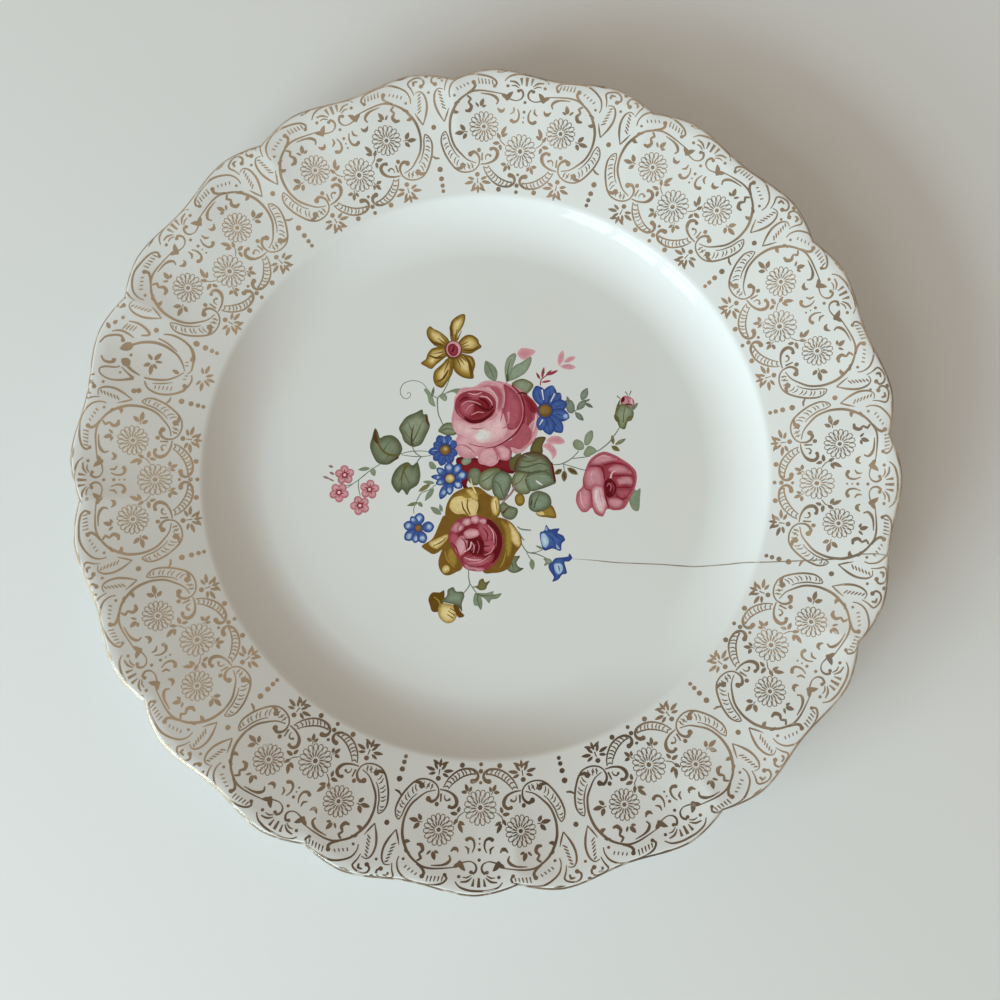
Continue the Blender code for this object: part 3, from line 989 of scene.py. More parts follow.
class Spray:
    # fields of colour and lines, each a thin closed body that lies on the glaze or on an earlier one
    def __init__(self):
        self.corners = []
        self.faces = []
        self.tints = []
        self.boxes = []

    def height(self, outline):
        box = (min(p[0] for p in outline), min(p[1] for p in outline),
               max(p[0] for p in outline), max(p[1] for p in outline))
        below = [level for other, level in self.boxes
                 if box[0] < other[2] and other[0] < box[2] and box[1] < other[3] and other[1] < box[3]]
        level = 1 + max(below, default=0)
        self.boxes.append((box, level))
        return level * sprayLook["layer"]

    def addBody(self, corners, faces, tints):
        start = len(self.corners)
        self.corners += corners
        self.faces += [tuple(start + k for k in face) for face in faces]
        self.tints += tints

    def field(self, points, edge, heart, soft=0.6):
        # the heart's colour begins at a share, soft, of the way from the edge to the middle
        outline = closedFlow(points, sprayLook["step"])
        top = self.height(outline)
        ring = [Vector(p) for p in outline]
        grain = sprayLook["grain"]
        seeds = []
        xs, ys = [p[0] for p in outline], [p[1] for p in outline]
        for i in range(int((max(xs) - min(xs)) / grain) + 1):
            for j in range(int((max(ys) - min(ys)) / grain) + 1):
                seed = Vector((min(xs) + (i + 0.5 * (j % 2)) * grain, min(ys) + (j + 0.5) * grain))
                if min((seed - p).length for p in ring) > grain * sprayLook["seedGap"]:
                    seeds.append(seed)
        loop = list(range(len(ring)))
        found = geometry.delaunay_2d_cdt(ring + seeds, [], [loop], 1, 1e-5)
        used = sorted({k for face in found[2] for k in face})
        number = {k: i for i, k in enumerate(used)}
        spots = [found[0][k] for k in used]
        triangles = [tuple(number[k] for k in face) for face in found[2]]
        depths = [min((spot - p).length for p in ring) for spot in spots]
        reach = max(max(depths) * soft, sprayLook["leastReach"])
        rim, core = pigment(edge), pigment(heart)
        tints = []
        for depth in depths:
            t = soften(min(depth / reach, 1.0))
            tints.append(tuple(a + (b - a) * t for a, b in zip(rim, core)))
        count = len(spots)
        sides = {}
        for a, b, c in triangles:
            for edgeEnds in ((a, b), (b, c), (c, a)):
                if (edgeEnds[1], edgeEnds[0]) in sides:
                    del sides[(edgeEnds[1], edgeEnds[0])]
                else:
                    sides[edgeEnds] = True
        corners = [(x, y, top) for x, y in spots] + [(x, y, -sprayLook["sink"]) for x, y in spots]
        faces = triangles + [(c + count, b + count, a + count) for a, b, c in triangles]
        faces += [(b, a, a + count, b + count) for a, b in sides]
        self.addBody(corners, faces, tints + tints)

    def petal(self, base, tip, width, edge, heart, blunt=0.5, bend=0.0):
        # a drop from its base to its tip; blunt 0 is pointed and 1 is round
        axis = (tip[0] - base[0], tip[1] - base[1])
        length = max(math.hypot(*axis), 1e-6)
        across = (-axis[1] / length, axis[0] / length)
        points = []
        for side in (1, -1):
            order = range(1, 8) if side > 0 else range(7, 0, -1)
            for k in order:
                t = k / 8
                half = width / 2 * math.sin(math.pi * t ** (0.75 + 0.6 * blunt)) ** (0.9 - 0.35 * blunt)
                shift = side * half + bend * length * math.sin(math.pi * t)
                points.append(tuple(base[i] + axis[i] * t + across[i] * shift for i in (0, 1)))
            if side > 0:
                points.append(tip)
        self.field([base] + points, edge, heart)

    def blot(self, centre, radii, edge, heart, turn=0.0):
        points = []
        for k in range(12):
            a = math.pi * k / 6
            x, y = radii[0] * math.cos(a), radii[1] * math.sin(a)
            points.append((centre[0] + x * math.cos(turn) - y * math.sin(turn),
                           centre[1] + x * math.sin(turn) + y * math.cos(turn)))
        self.field(points, edge, heart)

    def line(self, points, widths, tint):
        run = flow(points, sprayLook["step"])
        halves = []
        for i in range(len(run)):
            spot = i / max(len(run) - 1, 1) * (len(widths) - 1)
            k = min(int(spot), len(widths) - 2)
            width = widths[k] + (widths[k + 1] - widths[k]) * (spot - k)
            halves.append(max(width, sprayLook["leastWidth"]) / 2)
        corners, faces = stripBody(run, halves, -sprayLook["sink"], self.height(run))
        self.addBody(corners, faces, [pigment(tint)] * len(corners))

    def fields(self, *parts):
        for part in parts:
            self.field(*part)

    def lines(self, *parts):
        for part in parts:
            self.line(*part)

    def makePiece(self, name, material):
        mesh = bpy.data.meshes.new(name)
        ground = plateSizes["floorHeight"]
        places = [(x * millimetre, y * millimetre, ground + z * millimetre) for x, y, z in self.corners]
        mesh.from_pydata(places, [], self.faces)
        tint = mesh.color_attributes.new("tint", "FLOAT_COLOR", "POINT")
        tint.data.foreach_set("color", [value for colour in self.tints for value in colour])
        mesh.materials.append(material)
        piece = helperObject(name, mesh)
        print(name, "has", sum(len(face.vertices) - 2 for face in mesh.polygons), "triangles and",
              max(level for box, level in self.boxes), "layers")
        return piece


def printFinish():
    look = sprayLook
    material, graph = newFinish("enamel_print")
    place = graph.add("ShaderNodeTexCoord").out("Object")
    tint = graph.add("ShaderNodeAttribute", {"attribute_name": "tint"}, output="Color")
    cloud = clouds(graph, place, *look["paleClouds"])
    brush = clouds(graph, place, *look["brushClouds"])
    shade = graph.blend(cloud * look["shadeShare"], tint, look["cloudShade"], "MULTIPLY")
    shade = graph.blend(brush * look["shadeShare"], shade, look["brushShade"], "MULTIPLY")
    return endFinish(material, graph, {
        "Base Color": shade, "Roughness": look["rough"] + cloud * look["roughCloud"], "IOR": look["bend"],
    })


def drawNarcissus(spray):
    petals = (
        [(-7, 42.5), (-7.9, 44.5), (-7.9, 47.5), (-7.2, 50.2), (-5, 51.9), (-2.8, 52.3), (-2.7, 50.5),
         (-3.6, 48.3), (-5.3, 46), (-5.9, 43.8)],
        [(-8.6, 44.4), (-10.8, 46.8), (-13, 48.2), (-14.3, 49.2), (-15.4, 47.9), (-15.4, 46),
         (-14.4, 44), (-12.6, 42.3), (-9.8, 41.8), (-8.5, 42.5)],
        [(-9, 41.8), (-13.5, 42), (-15.5, 40.5), (-16.4, 38.5), (-18.1, 37.3), (-16.5, 36),
         (-14.8, 35.1), (-13.2, 36.4), (-10.6, 38.2), (-8.8, 39.5)],
        [(-8, 39), (-11.6, 36.2), (-13.9, 34.3), (-14.5, 31.8), (-13.8, 29.6), (-11.8, 28.7),
         (-9.9, 30.7), (-8.3, 32.9), (-7.7, 35.5)],
        [(-7.3, 39), (-7.8, 35), (-6.6, 32.7), (-4.2, 31.2), (-1.6, 30.9), (-1.4, 33), (-0.6, 35.5),
         (-1.3, 37.9), (-3.2, 38.8), (-5.6, 39.6)],
        [(-6.4, 41), (-5.2, 43.5), (-3, 45.2), (-0.8, 45.1), (0.9, 43.6), (1.2, 42.2), (1.9, 41),
         (0.2, 40), (-1.8, 39.1), (-4.3, 39.5)],
    )
    for points in petals:
        middle = [sum(p[k] for p in points) / len(points) for k in (0, 1)]
        spray.field(points, "honey", "ochre", 0.5)
        inner = [(x + 0.15, y + 0.25) for x, y in (towards(middle, p, 0.70) for p in points)]
        spray.field(inner, "ochre", "cream", 0.9)
        heart = (-7.3, 40.8)
        for lean in (-0.7, 0, 0.7):
            way = (middle[0] - heart[0], middle[1] - heart[1])
            aside = (-way[1] * 0.14 * lean, way[0] * 0.14 * lean)
            spray.line([(heart[0] + way[0] * 0.45 + aside[0], heart[1] + way[1] * 0.45 + aside[1]),
                        (heart[0] + way[0] * 0.95 + aside[0] * 2.2,
                         heart[1] + way[1] * 0.95 + aside[1] * 2.2)],
                       (0.55, 0.16), "umber")
    for points, widths in (
        ([(-2.2, 31.4), (-2.2, 34), (-2.6, 36.6), (-4, 38.4)], (0.3, 1.1, 0.9, 0.3)),
        ([(-15.2, 39.6), (-13, 38.6), (-10.4, 38.9)], (0.3, 0.8, 0.3)),
        ([(-13.6, 30.8), (-11.4, 31.6), (-9.4, 34.4)], (0.3, 0.8, 0.3)),
        ([(-15, 45.4), (-13.4, 43.6), (-10.6, 42.6)], (0.3, 0.9, 0.4)),
        ([(-7.6, 45.4), (-7.5, 48.4), (-6.6, 50.6)], (0.3, 0.9, 0.3)),
        ([(1.2, 41.4), (-1.2, 40.2), (-4, 40.4)], (0.3, 0.7, 0.3)),
    ):
        spray.line(points, widths, "honey")
    spray.blot((-7.3, 40.8), (2.9, 3.1), "honey", "crimson")
    spray.blot((-7.2, 41), (2.35, 2.6), "pink", "blush")
    spray.blot((-7.4, 40.8), (1.7, 2.1), "crimson", "ruby", 0.2)
    spray.line([(-7.9, 40), (-7.2, 40.9), (-7, 41.9)], (0.4, 0.7, 0.3), "wine")


def drawLeaves(spray):
    # the loose green leaves and stems, from the left round to the right
    for points, width in (
        ([(-28, 8), (-24, 8.8), (-20, 8.7), (-17.3, 8.2)], 0.32),
        ([(-26.5, 8), (-23, 7.2), (-19.5, 6.9), (-17.2, 7)], 0.32),
        ([(-22.8, 10.2), (-22, 8.3), (-20.2, 6.8)], 0.4), ([(-20, 7), (-21.3, 5.8), (-21.8, 4.6)], 0.4),
        ([(-33, 5.8), (-36.5, 4), (-39, 2.3), (-41.5, 0.6), (-43.5, -0.3), (-45.5, -0.4)], 0.34),
        ([(-40.7, 1), (-41, -1.2), (-40.6, -4)], 0.34), ([(-42.8, -0.2), (-45, -1.4)], 0.3),
        ([(-9.2, 31.5), (-10.5, 29), (-12, 26.8), (-13.6, 25.2), (-13.8, 21), (-13.3, 18.8), (-12.5, 16.6)],
         0.38), ([(-15, 26.2), (-13.6, 25.4)], 0.3),
        ([(-16.8, 29), (-18.5, 31), (-21.5, 31.8), (-24.2, 31), (-25.4, 28.8), (-24.9, 26.8), (-23.5, 26),
         (-22.2, 26.9), (-22.4, 28), (-23.3, 27.7)], 0.28),
        ([(-23.9, -11.2), (-23.8, -9.5), (-22.6, -7), (-21, -4.8), (-18.5, -4), (-15.8, -2.2)], 0.34),
        ([(20.5, 1), (24, 0.8), (27.5, 2.2), (30.3, 4.6)], 0.4),
        ([(28, 2.3), (31, 2.4), (33.8, 2.6)], 0.34), ([(24.5, 0.9), (27, 0), (30, -1.2), (32.4, -2)], 0.34),
        ([(25, 0.9), (25.1, -1.2)], 0.34),
        ([(33.8, 3), (37, 4.4), (40, 6.4), (42, 8.6), (44.6, 11.8)], 0.42),
        ([(29.4, 17.8), (31.2, 18.1), (33.4, 20)], 0.32), ([(29.8, 17.8), (30.8, 16.8)], 0.32),
        ([(9, -19.6), (9.2, -22.5), (10.3, -25.2), (11.5, -26.5), (14, -27.2), (16.5, -28.5),
         (17.8, -29.5)], 0.4), ([(11.5, -26.6), (14, -26.6), (16.2, -25.9)], 0.32),
        ([(10.8, -26.2), (11.6, -28), (12.5, -29.5)], 0.32), ([(8.6, -18), (10, -19), (12.9, -19.5)], 0.5),
        ([(9.2, -20.2), (9.7, -21.6), (10.5, -22.6)], 0.45),
        ([(-7.9, -30.5), (-8.1, -33), (-7.9, -35), (-9.2, -36.8), (-10.6, -38)], 0.42),
        ([(-8, -34.6), (-6.8, -36.6), (-5.8, -38.4)], 0.38),
    ):
        spray.line(points, (width * 0.7, width, width * 0.7), "stem")

    spray.fields(
        ([(-23, 10.3), (-25.3, 12.2), (-26, 14.5), (-26.7, 16.6), (-25.6, 18.5), (-23.8, 20.3), (-21, 21.3),
         (-18.8, 22.1), (-18.5, 20.6), (-17.3, 20.4), (-17.1, 18.5), (-16.7, 16.5), (-18.2, 13.5),
         (-19.8, 11), (-21.5, 10.3)], "fern", "sage"),
        ([(-34.4, 17.3), (-35.5, 14.5), (-36.4, 11.5), (-35.5, 8), (-34, 5.8), (-31, 5.2), (-28.5, 6.5),
         (-27, 8), (-26.1, 10), (-27, 12.7), (-29, 14.5), (-31.5, 14.6), (-33, 14), (-33.5, 15.8)],
         "fern", "green"),
        ([(-24.8, 5.5), (-27.5, 4.5), (-29.5, 2.3), (-30.4, -0.5), (-29.5, -3), (-28.3, -4.2), (-27, -3.2),
         (-25.7, -5.1), (-24.5, -3.5), (-22, -2), (-21, 0.5), (-21, 3), (-21.6, 5.2), (-23.3, 4.3)],
         "fern", "green"),
        ([(-14.2, 14.8), (-12.5, 16.7), (-10.8, 17.2), (-9, 16.6), (-8.3, 14.6), (-7.8, 13.6), (-9.5, 12.9),
         (-11.8, 13.2), (-13.2, 13.9)], "moss", "sage"),
        ([(-17.9, 4.8), (-16.8, 5), (-15.6, 3.2), (-16.3, 2.4), (-17.7, 3)], "green", "mint"),
        ([(-14.6, 22.7), (-16.4, 24), (-16.8, 26.5), (-17.8, 28.5), (-16.8, 28.8), (-15.6, 27),
         (-14.9, 24.8)], "mint", "sage"),
        ([(-12.9, 25.8), (-11.4, 26.8), (-10.5, 25.2), (-11.3, 24.2)], "green", "dew"),
        ([(-12, 26.4), (-9, 27.7), (-7, 28), (-5, 27.6), (-6.3, 26.3), (-7.3, 26.2), (-8.6, 27)],
         "mint", "green"),
        ([(9, 28.6), (8.7, 33), (9.8, 36.5), (12, 38.1), (12.9, 37.2), (11.6, 34), (10.3, 31)],
         "green", "dew"),
        ([(9.4, 29.4), (11.5, 33.5), (14.5, 35), (17.3, 36.6), (17.6, 35), (15.8, 31.8), (13, 30),
         (11, 29.3)], "green", "dew"),
        ([(10.6, 28), (13.5, 29.5), (16, 28.8), (17.6, 27), (15.5, 24.6), (13.3, 25)], "moss", "sage"),
        ([(28.6, 7.5), (30, 8.4), (31.8, 7.2), (32, 5.2), (30.2, 4.8), (28.8, 5.8)], "green", "sage"),
        ([(32.2, 7.5), (33, 9.8), (35.1, 10.9), (35.2, 8.5), (33.8, 6.5), (32.5, 6.2)], "green", "sage"),
        ([(31.8, 4), (33.5, 6), (35.5, 5), (35.9, 3.8), (34, 2.8), (32, 2.8)], "green", "sage"),
        ([(27.4, 21.3), (29.3, 21.2), (30.2, 19.2), (29.6, 17), (28, 17.3), (27.3, 19.5)], "grey", "mint"),
        ([(4.2, -26), (6.5, -25), (7, -27.2), (8.7, -27.4), (7.4, -29.5), (8.3, -31), (9.6, -31.4),
         (7.5, -32.5), (5.5, -32.4), (4, -30.5)], "fern", "green"),
        ([(-7.3, -35.9), (-5.5, -35.6), (-4.8, -34), (-3.5, -33.6), (-3, -34.8), (-1.4, -34.4), (-2.5, -36),
         (-3, -37), (-4.8, -37.2), (-6, -36.3)], "moss", "olive"),
        ([(-6.3, -38), (-3, -38.2), (-0.5, -37.8), (-0.8, -38.8), (1.9, -38.7), (0.5, -40.2), (-1.5, -40.4),
         (-2.3, -41.5), (-3.5, -40)], "green", "mint"),
        ([(-6.5, -38), (-7.2, -40), (-7, -41.8), (-6, -42), (-5, -43.4), (-4.4, -41.5), (-4.6, -39.5),
         (-5.5, -38.2)], "green", "mint"),
        ([(16, -28.8), (18, -29), (18.7, -30.2), (16.9, -31), (15.9, -31), (16.6, -30)], "green", "dew"),
    )

    for base, tip, width, edge, heart in (
        ((-36.8, 4.5), (-40.8, 4.3), 1.3, "green", "mint"),
        ((-36.3, 4.6), (-35.6, 1.8), 1.8, "green", "sage"),
        ((-15.4, 25.8), (-14.5, 29.2), 0.9, "grey", "mint"), ((5.5, 29.4), (2.8, 36.4), 4, "green", "mint"),
        ((-22.2, -7.8), (-26, -8.5), 1.2, "green", "olive"),
        ((-22.3, -7.6), (-21, -9.3), 1.3, "green", "mint"),
        ((-18, -2.2), (-22, -4.3), 1.5, "olive", "olive"),
        ((-17, -3.6), (-20.1, -7.4), 1.7, "green", "mint"),
        ((-16.6, -2), (-20.4, -1.2), 1.2, "green", "mint"),
        ((-15.2, -12.2), (-18.5, -9.5), 1.9, "green", "mint"),
        ((-14.9, -11.4), (-15.5, -8.8), 1.1, "green", "mint"),
        ((24.4, -0.9), (21.8, -2.3), 1.6, "olive", "brown"),
        ((25.1, -1.3), (24.7, -5), 1.9, "olive", "brown"),
        ((26.1, -0.6), (29.4, -3), 1.8, "olive", "brown"), ((41.5, 5.8), (41.3, 8.9), 1.2, "olive", "moss"),
        ((42, 5.6), (45.7, 7.3), 1.3, "olive", "sage"), ((40.8, 5.3), (43.4, 3.5), 1.6, "olive", "moss"),
        ((32.6, 20.9), (34.8, 24.8), 2.4, "grey", "mint"), ((30.8, 17.9), (34.2, 21), 2.2, "grey", "mint"),
        ((33.6, 20.4), (35.4, 21), 0.8, "grey", "mint"), ((33.6, 19.9), (36.1, 18.2), 1.2, "grey", "mint"),
        ((30.2, 17.1), (32.7, 14.2), 1.8, "grey", "mint"), ((28, 22.6), (28.6, 20.2), 0.9, "grey", "mint"),
        ((12.3, -28.6), (12.3, -32.2), 1.7, "green", "mint"),
        ((16.4, -25.9), (13.9, -24.5), 0.8, "green", "mint"),
    ):
        spray.petal(base, tip, width, edge, heart, 0.25)

    spray.lines(
        ([(-22.9, 10.8), (-22.8, 14), (-21.7, 17.6)], (0.9, 0.5, 0.1), "brown"),
        ([(-22.9, 11.5), (-21, 14.5), (-18.6, 19)], (0.5, 0.3, 0.1), "fern"),
        ([(-17.6, 20), (-17.5, 18.4), (-17.1, 16.8)], (0.5, 0.9, 0.2), "brown"),
        ([(-23.4, 13), (-25, 15.6)], (0.3, 0.1), "fern"),
        ([(-22.6, 15.5), (-23.8, 18.6)], (0.3, 0.1), "fern"),
        ([(-27.2, 7.8), (-30.5, 8.4), (-32.8, 10.4), (-34.2, 14)], (0.6, 0.9, 0.7, 0.9), "moss"),
        ([(-34.3, 16.6), (-34.6, 14.2), (-33.7, 12.2)], (0.5, 1.5, 0.5), "brown"),
        ([(-30.4, 8.6), (-31.8, 6.6)], (0.5, 0.1), "moss"),
        ([(-32.2, 9.8), (-30, 12.8)], (0.4, 0.1), "fern"),
        ([(-27.6, 7.4), (-28.8, 6.6), (-30.6, 6)], (0.9, 0.5, 0.1), "brown"),
        ([(-24.6, 5), (-26, 3.2), (-27, 0.4), (-27.1, -3)], (1.6, 0.7, 0.4, 0.2), "moss"),
        ([(-26.2, 2.6), (-24.6, -1.8)], (0.4, 0.1), "fern"),
        ([(-26.6, 1.6), (-28.6, -1.4)], (0.3, 0.1), "fern"),
        ([(9.6, 29.4), (9.8, 33), (11.2, 36.4)], (0.5, 0.3, 0.1), "fern"),
        ([(9.4, 29), (9.2, 31.4)], (0.7, 0.2), "brown"),
        ([(10.4, 30), (13.2, 32.4), (16.4, 35.4)], (0.3, 0.25, 0.1), "sage"),
        ([(5, 30.6), (4.2, 33), (3.2, 35.6)], (0.25, 0.25, 0.1), "fern"),
        ([(-13.4, 14.8), (-11, 15.2), (-9, 14.4)], (0.2, 0.35, 0.2), "fern"),
        ([(-8.6, 15.8), (-8.3, 14.4), (-8.5, 13.4)], (0.5, 0.9, 0.4), "brown"),
        ([(5.6, -25.6), (5.8, -28.6), (6.4, -31.6)], (0.3, 0.4, 0.2), "fern"),
        ([(-6.4, -38.2), (-3.6, -39), (0, -39.2)], (0.3, 0.3, 0.1), "fern"),
        ([(-5.6, -38.6), (-5.8, -40.4), (-5.2, -42.4)], (0.3, 0.3, 0.1), "fern"),
    )


def drawLeafCluster(spray):
    # the close leaves between the large rose and the flowers below it
    spray.field([(-9, 5.4), (-4, 5.4), (-1.8, 4.6), (1.5, 3), (5, 4), (8.6, 4.6), (9.4, 1.4), (8.6, -1),
                 (3, 0.4), (-1, -0.6), (-4.5, -0.6), (-6.4, -3.4), (-5, -5.4), (-7.4, -4.6), (-8.4, 0.5)],
                "wine", "crimson")
    spray.fields(
        ([(-6, -1), (-5, 1.4), (-3, 1.8), (-1.6, 0.4), (-1.8, -2.6), (-3.4, -3.8), (-5.2, -3)],
         "fern", "green"),
        ([(-2.7, -2.6), (-1.5, 0), (1.5, 1.3), (4.6, 0.8), (4.2, -1.5), (1.2, -5.6), (-1.4, -5)],
         "moss", "sage"),
        ([(1.6, -3.2), (3, -0.5), (5.5, 0.1), (8, -1.8), (7.6, -5), (5.6, -8.6), (3.6, -9.2), (1.8, -6.8)],
         "fern", "mint"),
        ([(7.8, 3.2), (10, 5), (11.8, 6.6), (11.4, 3.6), (10.2, 0.6), (8.2, 0.2)], "fern", "moss"),
        ([(14.8, 5.4), (15.8, 8.6), (17.5, 10.1), (20.1, 9.8), (18.9, 7.4), (18.4, 4.6)], "brown", "moss"),
        ([(9.4, 1.8), (11.6, 4.8), (15.5, 5.6), (19.2, 4.2), (21.2, 1.6), (21.7, -1), (21.9, -5.2),
         (18, -5), (12.5, -3), (9.6, -1.4)], "brown", "green"),
        ([(8, -3.2), (9.4, -0.7), (12.6, -0.5), (14.2, -3), (13.6, -7.4), (10.8, -7.8), (8.4, -6)],
         "moss", "sage"),
        ([(12.3, -3), (15, -0.8), (19, -1), (21.3, -3.2), (21.6, -5.2), (17, -6.7), (13.6, -6.9)],
         "fern", "mint"),
        ([(3.4, -11), (5, -9.8), (6.5, -11), (9.1, -12.3), (8.7, -14.5), (7, -15.7), (4.8, -15),
         (3.8, -13.5)], "fern", "green"),
        ([(14.9, -13.8), (15.6, -15.2), (18, -15.8), (21.2, -16.1), (20.2, -12.2), (17.5, -12.6)],
         "honey", "ochre"), ([(15, -14), (16, -15), (17.6, -14.8), (16.6, -13.6)], "sand", "cream"),
        ([(12.8, -10.6), (13.8, -8), (16.5, -7.2), (19.5, -8.8), (20, -11.8), (18, -13.4), (15, -13.9),
         (13, -12.8)], "fern", "mint"),
    )
    spray.blot((10.1, -9.5), (1.6, 2.1), "honey", "ochre")
    spray.blot((-5.9, 4.3), (1.7, 1.2), "green", "dew", 0.4)
    spray.lines(
        ([(9, -5), (7.4, -7.4), (4.4, -10)], (0.7, 0.6, 0.5), "dusk"),
        ([(6.2, -8.6), (6.6, -6)], (0.4, 0.2), "dusk"),
        ([(10.2, 1), (13.4, 0.8), (17.4, 1.6), (20.4, 0.4)], (0.5, 0.4, 0.4, 0.2), "fern"),
        ([(11.4, 3.4), (14, 2.4), (18.2, 3.4)], (0.5, 0.4, 0.2), "moss"),
        ([(12.6, 4.8), (15, 3.6)], (0.3, 0.2), "sage"),
        ([(10, -0.2), (14.6, -1.2), (19.8, -0.8)], (0.6, 0.7, 0.3), "fern"),
        ([(12.8, -2.9), (15.6, -2.4), (20.4, -3)], (0.3, 0.3, 0.2), "sage"),
        ([(15.8, -3.8), (16.8, -4.8), (17.8, -5.4)], (0.3, 0.5, 0.2), "white"),
        ([(9, -4.6), (11, -3.4), (12.6, -1.4)], (0.3, 0.3, 0.2), "moss"),
        ([(2.6, -3), (4, -4.2), (5, -8)], (0.3, 0.3, 0.2), "fern"),
        ([(-1.6, -2.8), (0.8, -1.6), (3.6, 0.4)], (0.3, 0.3, 0.2), "fern"),
        ([(14.4, -12.6), (15.2, -10.4), (16.6, -8)], (0.5, 0.4, 0.2), "fern"),
        ([(13.6, -11.6), (14, -9.8)], (0.5, 0.3), "brown"),
        ([(4.4, -13.4), (5.6, -12.2), (6.6, -11.4)], (0.8, 0.5, 0.2), "brown"),
        ([(21.3, 1.6), (21.6, -1.4), (21.7, -4.6)], (0.4, 0.6, 0.5), "wine"),
    )


